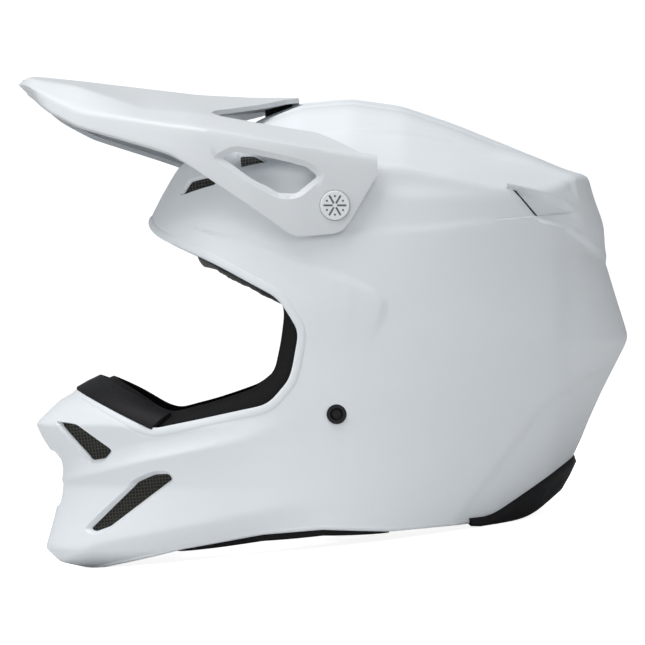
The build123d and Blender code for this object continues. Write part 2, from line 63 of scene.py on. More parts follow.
# ---- Driving sizes, in level millimetres --------------------------------------------------------
STANDING_TILT = math.radians(7)
PIVOT = (0.0, 7.0, 66.0)  # the visor's axis
ANCHOR = (0.0, 8.0, -52.0)  # the strap's axis
SHELL_WALL = 4.0
VISOR_WALL = 2.6

LEVEL_TO_ROW = (
    Matrix.Translation(Vector(JOINTS["visor_tilt"]["pos_m"]))
    @ Matrix.Rotation(-STANDING_TILT, 4, "X")
    @ Matrix.Scale(MM, 4)
    @ Matrix.Translation(-Vector(PIVOT))
)
HANGING_TO_ROW = (
    Matrix.Translation(Vector(JOINTS["strap_swing"]["pos_m"])) @ Matrix.Scale(MM, 4)
)

# ---- The outer form -----------------------------------------------------------------------------
# height, front, rear, half width, roundness of the front, roundness of the rear
FORM = np.array([
    (-160, -142, 84, 93, 1.60, 2.1), (-149, -149, 96, 96, 1.60, 2.1), (-144, -159, 104, 98, 1.60, 2.1),
    (-134, -169.5, 114, 101, 1.60, 2.1), (-95, -156.5, 143, 106, 1.60, 2.1),
    (-68, -170, 156, 109, 1.62, 2.1), (-60, -172.6, 159, 110, 1.65, 2.1),
    (-40, -151, 168, 113, 1.75, 2.1), (-9, -130, 184, 116, 1.90, 2.0),
    (16, -116, 176, 117.5, 2.00, 2.0), (42, -107, 168, 118, 2.10, 2.1), (58, -104, 167, 117.5, 2.15, 2.2),
    (74, -96, 161, 117, 2.20, 2.3), (88, -88, 157, 116, 2.20, 2.4), (104, -77, 150, 112.5, 2.20, 2.4),
    (140, -52, 136, 99, 2.20, 2.4),
]).T
WIDEST = 17.0
# along the centre plane: y, height of the crown
CROWN = np.array([
    (-130, 60), (-100, 83), (-85, 93), (-66, 104), (-43, 117), (-36, 121), (-13, 130), (17, 132.6),
    (47, 128.4), (77, 118.2), (107, 106.2), (143, 91.2), (157, 87), (200, 74),
]).T
CROWN_CURVE = 0.0016
CHAMFER_RISE, CHAMFER_SLOPE = 27.0, 0.57
CHAMFER_COSINE = 0.87  # turns a height over the chamfer into a distance from it
CAP_BLEND, WALL_BLEND = 3.0, 2.6  # how far the edges between top, chamfer and wall are rounded
UNDERSIDE = -172.0  # a floor under the form, well below the rim
KINK_SOFTNESS = 3.0  # how far a change of slope in the tables is rounded
CHIN_SOFTNESS = 1.0  # the same for the chin bar's profile, which starts at this height
CHIN_TOP = -26

# Feature lines in the side view, as (y, z)
PANEL_LINE = [(-60, 50), (-42, 45), (-11, 34), (13, 25), (30, 17), (35.4, 11), (33, 1), (25, -16)]
CHIN_RIDGE = [(-190, -100), (-158, -94), (-104, -80), (-52, -68.5), (-20, -58)]
CHIN_BEVEL = [(-190, -156), (-155, -142), (-133, -130), (-19, -105), (10, -101)]
CHIN_BAND = [(-190, -34), (-156, -46), (-123, -56.5), (-103, -66), (-68, -61), (-30, -52)]
REAR_STEP = [(70, -125), (88.6, -97.8), (128, -47.6), (155, -30.5), (200, -14)]
ARM_STEP = [(-10, 50.5), (12, 51), (59, 53.8), (96, 58)]
TAIL_STEP = [(140, 55), (152.5, 46.9), (165, 38.6), (180, 33)]
SCOOP_EDGE = [(107, 77), (122.6, 59.5)]
SCOOP_TOP = [(107, 77), (119, 75), (138, 69), (153, 58)]
SCOOP_FOOT = [(122.6, 59.5), (144, 55), (153, 51)]
SCOOP_DEPTH, SCOOP_RUN = 7.5, 30.0
SHOULDER = ((-20, 31, 76, 112, 146), (84, 78, 66, 61, 58))  # half width of the raised crown
PANEL_RISE, REAR_DROP, ARM_DROP, TAIL_DROP = 1.5, 2.2, 0.9, 1.6
SPINE_DROP, SHOULDER_DROP = 1.2, 1.6
GROOVE_DEPTH, GROOVE_WIDTH, GROOVE_FLOOR, GROOVE_FADE = 3.9, 6, 10, 22  # above the chin's ridge
RIDGE_FALL, RIDGE_WIDTH = 2.6, 13  # below it
BEVEL_SLOPE, BAND_SLOPE, BAND_WIDTH = 0.60, 0.34, 16

EYEPORT = [(-240, -38), (-146, -38), (-99, -62), (-31, -47), (-18, -32), (-13, -5), (-25, 14), (-62, 34),
           (-94, 48.8), (-101, 54), (-104, 61), (-240, 65)]
RIM = [(-240, -147.5), (-148, -147.5), (-80, -129), (-34, -119.5), (0, -116), (38, -117), (97, -112.5),
       (150, -79), (240, -30)]


def soften(table, knots, value, width=KINK_SOFTNESS):
    """A table read at value, with its corners rounded."""
    grid = np.arange(knots[0], knots[-1], 0.5)
    line = np.interp(grid, knots, table)
    reach = np.arange(-4 * width, 4 * width + 0.5, 0.5)
    bell = np.exp(-0.5 * (reach / width) ** 2)
    edge = len(reach) // 2
    padded = np.concatenate((2 * line[0] - line[edge:0:-1], line, 2 * line[-1] - line[-2:-edge - 2:-1]))
    return np.interp(value, grid, np.convolve(padded, bell / bell.sum(), "valid"))


def side_of(line, y, z):
    """Signed distance from a line in the side view, positive on its left as it is drawn."""
    best = np.full(np.shape(y), 1e9)
    signed = np.zeros(np.shape(y))
    for (ay, az), (by, bz) in zip(line, line[1:]):
        ty, tz = by - ay, bz - az
        length = math.hypot(ty, tz)
        along = np.clip(((y - ay) * ty + (z - az) * tz) / length ** 2, 0, 1)
        gap = np.hypot(y - ay - along * ty, z - az - along * tz)
        side = np.where(ty * (z - az) - tz * (y - ay) >= 0, 1.0, -1.0)
        closer = gap < best - 1e-6
        best = np.where(closer, gap, best)
        signed = np.where(closer, side * gap, signed)
    return signed


def step(distance, width):
    """0 before an edge and 1 after it, over a width."""
    t = np.clip(distance / width + 0.5, 0, 1)
    return t * t * (3 - 2 * t)


def slope(distance, width):
    """0 before an edge and the distance after it, with a rounded corner."""
    return (distance + np.sqrt(distance ** 2 + width ** 2)) / 2


def blend_max(a, b, width):
    """The larger of two fields, with the ridge between them rounded over a width."""
    overlap = np.maximum(width - np.abs(a - b), 0) / width
    return np.maximum(a, b) + overlap ** 2 * width / 4


def surface_detail(x, y, z):
    """How far the surface lies below the plain form: its steps, bevels, ridges and scoops."""
    out = np.abs(x)
    flank = step(out - 62, 20)
    front = step(-20 - y, 60)
    panel = step(side_of(PANEL_LINE, y, z) * -1, 3.2) * step(y + 75, 30)
    detail = -PANEL_RISE * panel * flank * step(z + 2, 30)

    ridge = side_of(CHIN_RIDGE, y, z)
    above, below = slope(ridge, 0.8), slope(-ridge, 0.8)
    groove = GROOVE_DEPTH * (1 - np.exp(-above / GROOVE_WIDTH))
    groove = groove * np.exp(-np.maximum(above - GROOVE_FLOOR, 0) / GROOVE_FADE)
    fall = RIDGE_FALL * (1 - np.exp(-below / RIDGE_WIDTH))
    detail = detail + front * step(-y - 35, 40) * (groove + fall)
    detail = detail + front * BEVEL_SLOPE * slope(-side_of(CHIN_BEVEL, y, z), 1.0)
    band = np.minimum(side_of(CHIN_BAND, y, z), BAND_WIDTH)
    detail = detail + step(-48 - y, 30) * BAND_SLOPE * slope(band, 1.0) * step(-z - 24, 20)

    rear = step(-side_of(REAR_STEP, y, z), 5.0) * step(y - 60, 30)
    detail = detail + REAR_DROP * rear * step(out - 30, 30)
    arm = step(side_of(ARM_STEP, y, z), 3.0) * step(90 - z, 20)
    detail = detail + ARM_DROP * arm * flank * step(y + 5, 20)
    detail = detail + TAIL_DROP * step(-side_of(TAIL_STEP, y, z), 4.0) * step(y - 138, 14)

    inside = (step(side_of(SCOOP_EDGE, y, z), 5.0) * step(-side_of(SCOOP_TOP, y, z), 6.0)
              * step(side_of(SCOOP_FOOT, y, z), 4.0) * step(out - 40, 6))
    detail = detail + inside * SCOOP_DEPTH * np.clip(1 - side_of(SCOOP_EDGE, y, z) / SCOOP_RUN, 0, 1)

    spines = step(17 - out - 0.05 * np.abs(y - 20), 3.0) + step(36 - out - 0.04 * np.abs(y - 30), 3.0)
    detail = detail + SPINE_DROP * (2 - spines) * step(z - 92, 14) * step(112 - y, 30) * step(y + 46, 24)
    beside = 1 - step(np.interp(y, *SHOULDER) - out, 3.5)
    return detail + SHOULDER_DROP * beside * step(z - 74, 10) * step(y + 24, 30) * step(158 - y, 8)


def outside(x, y, z):
    """Roughly how far a place lies outside the shell, in millimetres; negative inside."""
    heights = FORM[0]
    front, rear, half, round_front, round_rear = (soften(row, heights, z) for row in FORM[1:])
    front = front + step(CHIN_TOP - z, 4) * (soften(FORM[1], heights, z, CHIN_SOFTNESS) - front)
    behind = y >= WIDEST
    power = np.where(behind, round_rear, round_front)
    reach = np.where(behind, rear - WIDEST, WIDEST - front)
    ratio = ((np.abs(x) / half) ** power + (np.abs(y - WIDEST) / reach) ** power) ** (1 / power)
    wall = (ratio - 1) * np.where(behind, 0.5 * (half + reach), half)
    crown = soften(CROWN[1], CROWN[0], y)
    top = z - (crown - CROWN_CURVE * x ** 2)
    chamfer = CHAMFER_COSINE * (z - (crown + CHAMFER_RISE - CHAMFER_SLOPE * np.abs(x)))
    cap = blend_max(top, chamfer, CAP_BLEND)
    return np.maximum(blend_max(wall, cap, WALL_BLEND) + surface_detail(x, y, z), UNDERSIDE - z)


def solve(low, high, place, depth, rounds=34):
    """The parameter between low and high at which place(t) lies this deep inside the surface."""
    for _ in range(rounds):
        middle = (low + high) / 2
        inside = outside(*place(middle)) < -depth
        low = np.where(inside, middle, low)
        high = np.where(inside, high, middle)
    return (low + high) / 2


def skin_x(y, z, depth=0.0):
    """How far out the surface lies beside a side-view place; 0 where the place is off the shell."""
    y, z = np.asarray(y, float), np.asarray(z, float)
    return solve(np.zeros_like(y), np.full_like(y, 150.0), lambda t: (t, y, z), depth)


def skin_normals(points, reach=0.8):
    """The surface's outward direction at each of some places."""
    x, y, z = np.asarray(points, float).T
    rise = np.stack((
        outside(x + reach, y, z) - outside(x - reach, y, z),
        outside(x, y + reach, z) - outside(x, y - reach, z),
        outside(x, y, z + reach) - outside(x, y, z - reach),
    ), axis=1)
    return rise / np.linalg.norm(rise, axis=1)[:, None]


def half_edge(line, radius=0.0, depth=0.0):
    """A side-view line laid on the surface, from where it meets the centre plane to its end."""
    path = resampled(rounded(line, radius, closed=False) if radius else line, 0.2)
    within = np.nonzero(outside(0 * path[:, 0], path[:, 0], path[:, 1]) < -depth)[0]
    path = path[within[0]:within[-1] + 1]
    x = skin_x(path[:, 0], path[:, 1], depth)
    return np.column_stack((x, path))


def right_round(half, count):
    """A half edge and its mirror image as one run, closed if the half starts and ends at the middle."""
    half = half.copy()
    half[0, 0] = 0.0
    if half[-1, 0] < 8:
        half[-1, 0] = 0.0
        half = resampled(half, count=count // 2 + 1)
        return np.concatenate((half, half[-2:0:-1] * (-1, 1, 1)))
    half = resampled(half, count=count // 2 + 1)
    return np.concatenate((half[:0:-1] * (-1, 1, 1), half))


# ---- Mesh helpers -------------------------------------------------------------------------------
def rounded(points, radius, closed=True, steps=5):
    """An outline with its corners turned into short curves."""
    points = [Vector(p) for p in points]
    count = len(points)
    result = []
    for i, corner in enumerate(points):
        if not closed and i in (0, count - 1):
            result.append(corner)
            continue
        before, after = points[i - 1] - corner, points[(i + 1) % count] - corner
        start = corner + before.normalized() * min(radius, before.length * 0.45)
        end = corner + after.normalized() * min(radius, after.length * 0.45)
        for k in range(steps + 1):
            t = k / steps
            result.append((1 - t) ** 2 * start + 2 * t * (1 - t) * corner + t ** 2 * end)
    return result


def resampled(points, spacing=1.0, count=None):
    """The same run of places at an even spacing."""
    points = np.array([tuple(p) for p in points])
    gaps = np.linalg.norm(np.diff(points, axis=0), axis=1)
    total = np.concatenate(([0], np.cumsum(gaps)))
    count = count or max(2, int(round(total[-1] / spacing)) + 1)
    wanted = np.linspace(0, total[-1], count)
    return np.stack([np.interp(wanted, total, points[:, k]) for k in range(points.shape[1])], axis=1)


def grown(outline, amount):
    """An outline with each side moved outwards."""
    points = [Vector(p) for p in outline]
    turn = sum(a.cross(b) for a, b in zip(points, points[1:] + points[:1]))
    sign = 1.0 if turn > 0 else -1.0
    result = []
    for i, corner in enumerate(points):
        into = (corner - points[i - 1]).normalized()
        out = (points[(i + 1) % len(points)] - corner).normalized()
        first, second = (Vector((d.y, -d.x)) * sign for d in (into, out))
        result.append(corner + (first + second) * (amount / max(0.5, 1 + first.dot(second))))
    return result


def link(mesh, name):
    thing = bpy.data.objects.new(name, mesh)
    bpy.context.scene.collection.objects.link(thing)
    return thing


def finish_mesh(bm, name, place=LEVEL_TO_ROW, flip=True):
    """Closes a bmesh into an object at the origin, with its place in its mesh."""
    bmesh.ops.remove_doubles(bm, verts=bm.verts[:], dist=1e-4)
    if flip:
        bmesh.ops.recalc_face_normals(bm, faces=bm.faces[:])
    bmesh.ops.transform(bm, matrix=place, verts=bm.verts[:])
    mesh = bpy.data.meshes.new(name)
    bm.to_mesh(mesh)
    bm.free()
    return link(mesh, name)


def skin_rows(bm, rows, closed_row, closed_run=False, capped=True):
    """Draws the first row, then extrudes it through the others. Rows have equal counts."""
    ring = [bm.verts.new(p) for p in rows[0]]
    pairs = list(zip(ring, ring[1:])) + ([(ring[-1], ring[0])] if closed_row else [])
    edges = [bm.edges.new(pair) for pair in pairs]
    first = list(ring)
    if capped and closed_row and not closed_run:
        bm.faces.new(ring)
    for row in rows[1:]:
        drawn = bmesh.ops.extrude_edge_only(bm, edges=edges)["geom"]
        fresh = {e for e in drawn if isinstance(e, bmesh.types.BMVert)}
        edges = [e for e in drawn if isinstance(e, bmesh.types.BMEdge) and set(e.verts) <= fresh]
        place = {old: i for i, old in enumerate(ring)}
        following = [None] * len(ring)
        for vert in fresh:
            for edge in vert.link_edges:
                other = edge.other_vert(vert)
                if other in place:
                    following[place[other]] = vert
        for vert, point in zip(following, row):
            vert.co = point
        ring = following
    if closed_run:
        bmesh.ops.bridge_loops(bm, edges=edges + [bm.edges.get((a, b)) for a, b in zip(
            first, first[1:] + first[:1])])
    elif capped and closed_row:
        bm.faces.new(ring)
    return first, ring


def sweep(bm, path, ups, profile, closed=False):
    """Runs a closed profile of (across, up) points along a path, upright to the ups given."""
    path = [Vector(p) for p in path]
    rows = []
    count = len(path)
    for i, point in enumerate(path):
        ahead = path[(i + 1) % count] if closed or i < count - 1 else point
        behind = path[i - 1] if closed or i > 0 else point
        run = (ahead - behind).normalized()
        up = Vector(ups[i])
        up = (up - run * up.dot(run)).normalized()
        across = run.cross(up)
        rows.append([point + across * u + up * v for u, v in profile])
    skin_rows(bm, rows, closed_row=True, closed_run=closed)


def strip(bm, first, second, ups, thickness, crown=0.0, closed=False, sink=0.5):
    """A rounded strip between two rails; sink says how much of its thickness lies below them."""
    rows = []
    low, high = -sink * thickness, (1 - sink) * thickness
    for p, q, up in zip(first, second, ups):
        p, q, up = Vector(p), Vector(q), Vector(up)
        across = q - p
        width = across.length
        across /= width
        up = (up - across * up.dot(across)).normalized()
        edge = min(0.35 * thickness, 0.3 * width)
        section = [(0, low + edge), (0, high - edge), (edge, high), (width / 2, high + crown),
                   (width - edge, high), (width, high - edge), (width, low + edge),
                   (width - edge, low), (width / 2, low), (edge, low)]
        rows.append([p + across * u + up * v for u, v in section])
    skin_rows(bm, rows, closed_row=True, closed_run=closed)


def oval(width, height, count=10, rise=0.0):
    """A rounded profile for a bead or lip."""
    turns = [2 * math.pi * k / count for k in range(count)]
    return [(width / 2 * math.cos(a), rise + height / 2 * math.sin(a)) for a in turns]


def slab(width, height, corner, rise=0.0):
    """A flat profile with rounded corners."""
    half, tall = width / 2, height / 2
    outline = rounded([(-half, -tall), (half, -tall), (half, tall), (-half, tall)], corner, steps=2)
    return [(p.x, p.y + rise) for p in outline]


def prism(outline, low, high, along="X"):
    """An outline carried from low to high: a side view along X, a front view along Y, a plan along Z."""
    place = {"X": lambda u, v, w: (w, u, v), "Y": lambda u, v, w: (u, w, v), "Z": lambda *uvw: uvw}[along]
    bm = bmesh.new()
    face = bm.faces.new([bm.verts.new(place(u, v, low)) for u, v in outline])
    lifted = bmesh.ops.extrude_face_region(bm, geom=[face])["geom"]
    bmesh.ops.translate(bm, verts=[v for v in lifted if isinstance(v, bmesh.types.BMVert)],
                        vec=place(0, 0, high - low))
    return finish_mesh(bm, "cutter")


def rod(y, z, radius, low, high, segments=48):
    """A cylinder along X, as a cutter or a boss."""
    bm = bmesh.new()
    turn = Matrix.Translation(((low + high) / 2, y, z)) @ Matrix.Rotation(math.pi / 2, 4, "Y")
    bmesh.ops.create_cone(bm, cap_ends=True, segments=segments, radius1=radius, radius2=radius,
                          depth=high - low, matrix=turn)
    return finish_mesh(bm, "cutter")


def tapered_cutter(outline, flare, depth, surface, side=1, corner=1.5, clear=6):
    """A cutter whose mouth is bevelled: the outline below the surface, and wider at it."""
    inner = rounded(outline, corner, steps=3)
    outer = rounded(grown(outline, flare), corner + flare, steps=3)
    on_skin = [surface(*p) for p in outer]
    below = [surface(*p) for p in inner]
    middle = sum(on_skin, Vector()) / len(on_skin)
    around = sum(((a - middle).cross(b - middle) for a, b in zip(on_skin, on_skin[1:])), Vector())
    outward = around.normalized()
    if outward.dot(middle - Vector((0, WIDEST, 0))) < 0:
        outward = -outward
    rows = [[p + clear * outward + 0.25 * (p - middle) for p in on_skin], on_skin,
            [p - depth * outward for p in below], [p - (depth + 14) * outward for p in below]]
    bm = bmesh.new()
    skin_rows(bm, [[(side * p.x, p.y, p.z) for p in row] for row in rows], closed_row=True)
    return finish_mesh(bm, "cutter")


def carve(thing, cutters, operation="DIFFERENCE"):
    """Cuts each cutter from a piece and drops the cutters."""
    for cutter in cutters:
        change = thing.modifiers.new("cut", "BOOLEAN")
        change.operation, change.object, change.solver = operation, cutter, "MANIFOLD"
    settle(thing)
    for cutter in cutters:
        bpy.data.objects.remove(cutter)
    return thing


def settle(thing):
    """Applies a piece's modifiers."""
    depsgraph = bpy.context.evaluated_depsgraph_get()
    mesh = bpy.data.meshes.new_from_object(thing.evaluated_get(depsgraph))
    thing.modifiers.clear()
    thing.data = mesh
    return thing


def walled(bm, name, towards, thickness):
    """A sheet turned to face a direction on the whole, with a wall's thickness behind it."""
    bmesh.ops.recalc_face_normals(bm, faces=bm.faces[:])
    if sum(f.normal.dot(towards) * f.calc_area() for f in bm.faces) < 0:
        bmesh.ops.reverse_faces(bm, faces=bm.faces[:])
    sheet = finish_mesh(bm, name, flip=False)
    wall = sheet.modifiers.new("wall", "SOLIDIFY")
    wall.thickness, wall.offset = thickness * MM, -1
    return settle(sheet)


def smooth(thing, angle=35):
    """Smooth shading that keeps edges sharper than an angle."""
    thing.data.polygons.foreach_set("use_smooth", [True] * len(thing.data.polygons))
    thing.data.set_sharp_from_angle(angle=math.radians(angle))
    return thing


def mirrored(thing, name):
    """A copy on the other side of the centre plane."""
    bm = bmesh.new()
    bm.from_mesh(thing.data)
    bmesh.ops.scale(bm, vec=(-1, 1, 1), verts=bm.verts[:])
    bmesh.ops.reverse_faces(bm, faces=bm.faces[:])
    mesh = bpy.data.meshes.new(name)
    bm.to_mesh(mesh)
    bm.free()
    return link(mesh, name)


def place_piece(thing, body, material, nodes=()):
    """Gives a piece its finish and body, and hides the CAD nodes that it stands for."""
    thing.data.materials.clear()
    thing.data.materials.append(material)
    if nodes:
        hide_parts(*nodes)
    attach(thing, body)
    return thing


def made(bm, name, finish, nodes=(), body="shell", place=LEVEL_TO_ROW, flip=True, angle=60):
    """Turns a bmesh into a finished piece: closed, shaded smoothly, and riding on its body."""
    piece = smooth(finish_mesh(bm, name, place, flip), angle)
    return place_piece(piece, body, finish_of(finish), nodes)


def dress(node, material):
    """Gives a CAD node that stays a better finish."""
    thing = frame["nodes"][node]
    thing.data.materials.clear()
    thing.data.materials.append(material)
    return thing


# ---- Shader maths -------------------------------------------------------------------------------
class Field:
    """A shader socket that takes part in ordinary arithmetic."""

    def __init__(self, finish, socket):
        self.finish = finish
        self.socket = socket

    def maths(self, operation, *others):
        node = self.finish.node("ShaderNodeMath", {"operation": operation},
                                **{f"_{i}": value for i, value in enumerate((self, *others))})
        return Field(self.finish, node.outputs[0])

    def __add__(self, other):
        return self.maths("ADD", other)

    __radd__ = __add__

    def __mul__(self, other):
        return self.maths("MULTIPLY", other)

    __rmul__ = __mul__

    def __sub__(self, other):
        return self.maths("SUBTRACT", other)

    def __rsub__(self, other):
        return (self * -1.0) + other

    def sine(self):
        return self.maths("SINE")

    def size(self):
        return self.maths("ABSOLUTE")

    def larger(self, other):
        return self.maths("MAXIMUM", other)

    def between(self, low, high):
        """0 below low and 1 above high, eased."""
        node = self.finish.node("ShaderNodeMapRange", {"interpolation_type": "SMOOTHSTEP"},
                                Value=self, From_Min=low, From_Max=high)
        return Field(self.finish, node.outputs[0])


class Finish:
    """A procedural material: a Principled shader and the fields that vary over it."""

    def __init__(self, name, **constants):
        self.material = bpy.data.materials.new(name)
        self.material.use_nodes = True
        self.tree = self.material.node_tree
        self.shader = self.tree.nodes["Principled BSDF"]
        self.place = self.node("ShaderNodeTexCoord").outputs["Object"]
        for socket, value in constants.items():
            self.shader.inputs[socket.replace("_", " ")].default_value = value

    def node(self, kind, settings=None, **values):
        """Adds a node; settings come first, then its sockets' values or links."""
        node = self.tree.nodes.new(kind)
        for key, value in (settings or {}).items():
            setattr(node, key, value)
        for key, value in values.items():
            socket = node.inputs[int(key[1:])] if key[0] == "_" else node.inputs[key.replace("_", " ")]
            if isinstance(value, Field):
                value = value.socket
            if isinstance(value, bpy.types.NodeSocket):
                self.tree.links.new(value, socket)
            else:
                socket.default_value = value
        return node

    def axes(self, place=None):
        parts = self.node("ShaderNodeSeparateXYZ", _0=place or self.place)
        return [Field(self, socket) for socket in parts.outputs]

    def noise(self, scale, detail=3.0, stretch=(1, 1, 1)):
        place = self.node("ShaderNodeMapping", Vector=self.place, Scale=stretch).outputs[0]
        node = self.node("ShaderNodeTexNoise", Vector=place, Scale=scale, Detail=detail)
        return Field(self, node.outputs["Fac"])

    def cells(self, scale, feature="F1"):
        node = self.node("ShaderNodeTexVoronoi", {"feature": feature}, Vector=self.place, Scale=scale)
        return Field(self, node.outputs["Distance"])

    def tint(self, factor, low, high):
        """A colour that runs from low to high with a field."""
        node = self.node("ShaderNodeMix", {"data_type": "RGBA"}, _0=factor)
        node.inputs[6].default_value = (*low, 1)
        node.inputs[7].default_value = (*high, 1)
        return node.outputs[2]

    def shades(self, factor, colour, low, high):
        """Colours the surface from one share of a colour to another with a field."""
        return self.feed(Base_Color=self.tint(factor, [low * c for c in colour], [high * c for c in colour]))

    def feed(self, **sockets):
        for name, value in sockets.items():
            value = value.socket if isinstance(value, Field) else value
            self.tree.links.new(value, self.shader.inputs[name.replace("_", " ")])
        return self

    def relief(self, height, distance, strength=1.0):
        node = self.node("ShaderNodeBump", Height=height, Distance=distance, Strength=strength)
        return self.feed(Normal=node.outputs[0])


def satin_paint(name, colour, grain):
    """Flat clear-coated paint: faint orange peel, a little tone drift and fine handling dust."""
    finish = Finish(name, Coat_Weight=0.08, Coat_Roughness=0.35, IOR=1.46)
    drift = finish.noise(14, 2)
    dust = finish.noise(420, 4)
    finish.shades(drift * 0.7 + dust * 0.3, colour, 0.965, 1.0)
    finish.feed(Roughness=0.40 + 0.08 * drift + 0.06 * dust)
    peel = finish.noise(grain, 1.5) + 0.35 * finish.noise(grain * 4.5, 1.0)
    finish.relief(peel, 0.00006, 0.35)
    return finish.material


def knob_paint():
    """The knobs' paint, with painted shade in the moulded star: its recesses are coloured dark grey."""
    finish = Finish("knob_paint", Coat_Weight=0.08, Coat_Roughness=0.35, IOR=1.46)
    x, _, _ = finish.axes()
    # painted shade: the raised face takes the paint's colour, the star's recesses below it a dark grey
    face = x.size().between(0.12247, 0.12262)
    drift = finish.noise(60, 3)
    finish.feed(Base_Color=finish.tint(face * (0.94 + 0.06 * drift), (0.17, 0.18, 0.19),
                                       (0.68, 0.705, 0.73)))
    finish.feed(Roughness=0.5 - 0.1 * face + 0.06 * drift)
    finish.relief(finish.noise(900, 1.5), 0.00005, 0.35)
    return finish.material


def moulded_black(name, colour, grain, roughness, depth=0.00012):
    """Moulded rubber or nylon with a fine spark-eroded grain and paler worn spots."""
    finish = Finish(name, IOR=1.5, Specular_IOR_Level=0.12)
    grit = finish.cells(grain)
    cloud = finish.noise(55, 3)
    worn = finish.noise(190, 4).between(0.6, 0.8)
    finish.feed(Base_Color=finish.tint(0.55 * cloud + 0.45 * worn, colour,
                                       [2.1 * c + 0.004 for c in colour]))
    finish.feed(Roughness=roughness + 0.12 * cloud - 0.08 * worn)
    finish.relief(grit + 0.4 * finish.noise(grain * 0.6, 2), depth, 0.6)
    return finish.material


def bead_foam():
    """Expanded bead foam: packed beads with dark joints, each a little different."""
    finish = Finish("bead_foam", IOR=1.4)
    joint = finish.cells(330, "DISTANCE_TO_EDGE")
    cloud = finish.noise(40, 2)
    finish.feed(Base_Color=finish.tint(joint.between(0.0, 0.25) * 0.7 + cloud * 0.3,
                                       (0.012, 0.012, 0.013), (0.045, 0.046, 0.05)))
    finish.feed(Roughness=0.62 + 0.2 * cloud)
    finish.relief(joint.between(0.0, 0.35), 0.0004, 0.8)
    return finish.material


def knitted_lining(name, colour, pitch):
    """Brushed spacer knit: rows of small open loops, with soft fibre variation."""
    finish = Finish(name, Sheen_Weight=0.25, Sheen_Roughness=0.5, IOR=1.4)
    x, y, z = finish.axes()
    turn = 2 * math.pi / pitch
    rows = ((z * turn).sine() * (y * turn).sine()).size()
    courses = ((x * turn).sine() * (z * turn * 0.5).sine()).size()
    loops = rows.larger(courses)
    fibre = finish.noise(1500, 3)
    patch = finish.noise(38, 3)
    finish.shades(loops * 0.5 + fibre * 0.25 + patch * 0.25, colour, 0.35, 1.7)
    finish.feed(Roughness=0.82 + 0.12 * fibre)
    finish.relief(loops * 0.8 + fibre * 0.3, 0.0004, 0.7)
    return finish.material


def woven_wire(name, first, second, pitch=0.0019):
    """Black wire cloth: two sets of wires that pass over and under each other."""
    finish = Finish(name, IOR=1.5, Specular_IOR_Level=0.3)
    axes = finish.axes()
    turn = math.pi / pitch
    u, v = axes[first] * turn, axes[second] * turn
    warp = 1 - u.sine().size()
    weft = 1 - v.sine().size()
    over = (u.sine() * v.sine()) * 0.5 + 0.5
    wires = warp.between(0.35, 0.75).larger(weft.between(0.35, 0.75))
    height = (warp * over).larger(weft * (1 - over))
    scuff = finish.noise(260, 3)
    # the gaps between the wires are painted near-black in place of holes: the dark foam behind them and
    # painted shade
    finish.feed(Base_Color=finish.tint(wires * (0.6 + 0.5 * scuff), (0.002, 0.002, 0.002),
                                       (0.045, 0.044, 0.036)))
    finish.feed(Roughness=0.75 - 0.35 * wires, Metallic=wires * 0.5)
    finish.relief(height, 0.0006, 1.0)
    return finish.material


def woven_webbing(name, colour, along, across_axis, pitch=0.0022):
    """Flat woven webbing: fine ribs across, a chevron of yarns and darker edges."""
    finish = Finish(name, Sheen_Weight=0.15, Sheen_Roughness=0.4, IOR=1.45)
    axes = finish.axes()
    turn = 2 * math.pi / pitch
    run = axes[along] * turn
    side = axes[across_axis] * turn
    chevron = (run + side.size()).sine() * 0.5 + 0.5
    yarn = (side * 2).sine().size()
    fibre = finish.noise(1900, 3)
    finish.shades(chevron * 0.45 + yarn * 0.3 + fibre * 0.25, colour, 0.4, 1.8)
    finish.feed(Roughness=0.6 + 0.25 * fibre)
    finish.relief(chevron * 0.6 + yarn * 0.4, 0.0003, 0.8)
    return finish.material


def bare_metal(name, colour, roughness, scratch=900, metallic=1.0):
    """Polished or plated metal with fine scratches and dull handling marks."""
    finish = Finish(name, Metallic=metallic)
    marks = finish.noise(60, 4)
    lines = finish.noise(scratch, 2, (1, 9, 1))
    finish.shades(marks, colour, 0.72, 1.0)
    finish.feed(Roughness=roughness + 0.18 * marks + 0.1 * lines)
    finish.relief(lines, 0.00003, 0.5)
    return finish.material


def thread(name, colour):
    """Twisted sewing thread."""
    finish = Finish(name, Sheen_Weight=0.2, IOR=1.45)
    x, y, z = finish.axes()
    twist = ((x + y + z) * (2 * math.pi / 0.0009)).sine() * 0.5 + 0.5
    fuzz = finish.noise(2400, 2)
    finish.shades(twist * 0.6 + fuzz * 0.4, colour, 0.5, 1.5)
    finish.feed(Roughness=0.55 + 0.3 * fuzz)
    finish.relief(twist, 0.0002, 0.8)
    return finish.material


FINISHES = {}


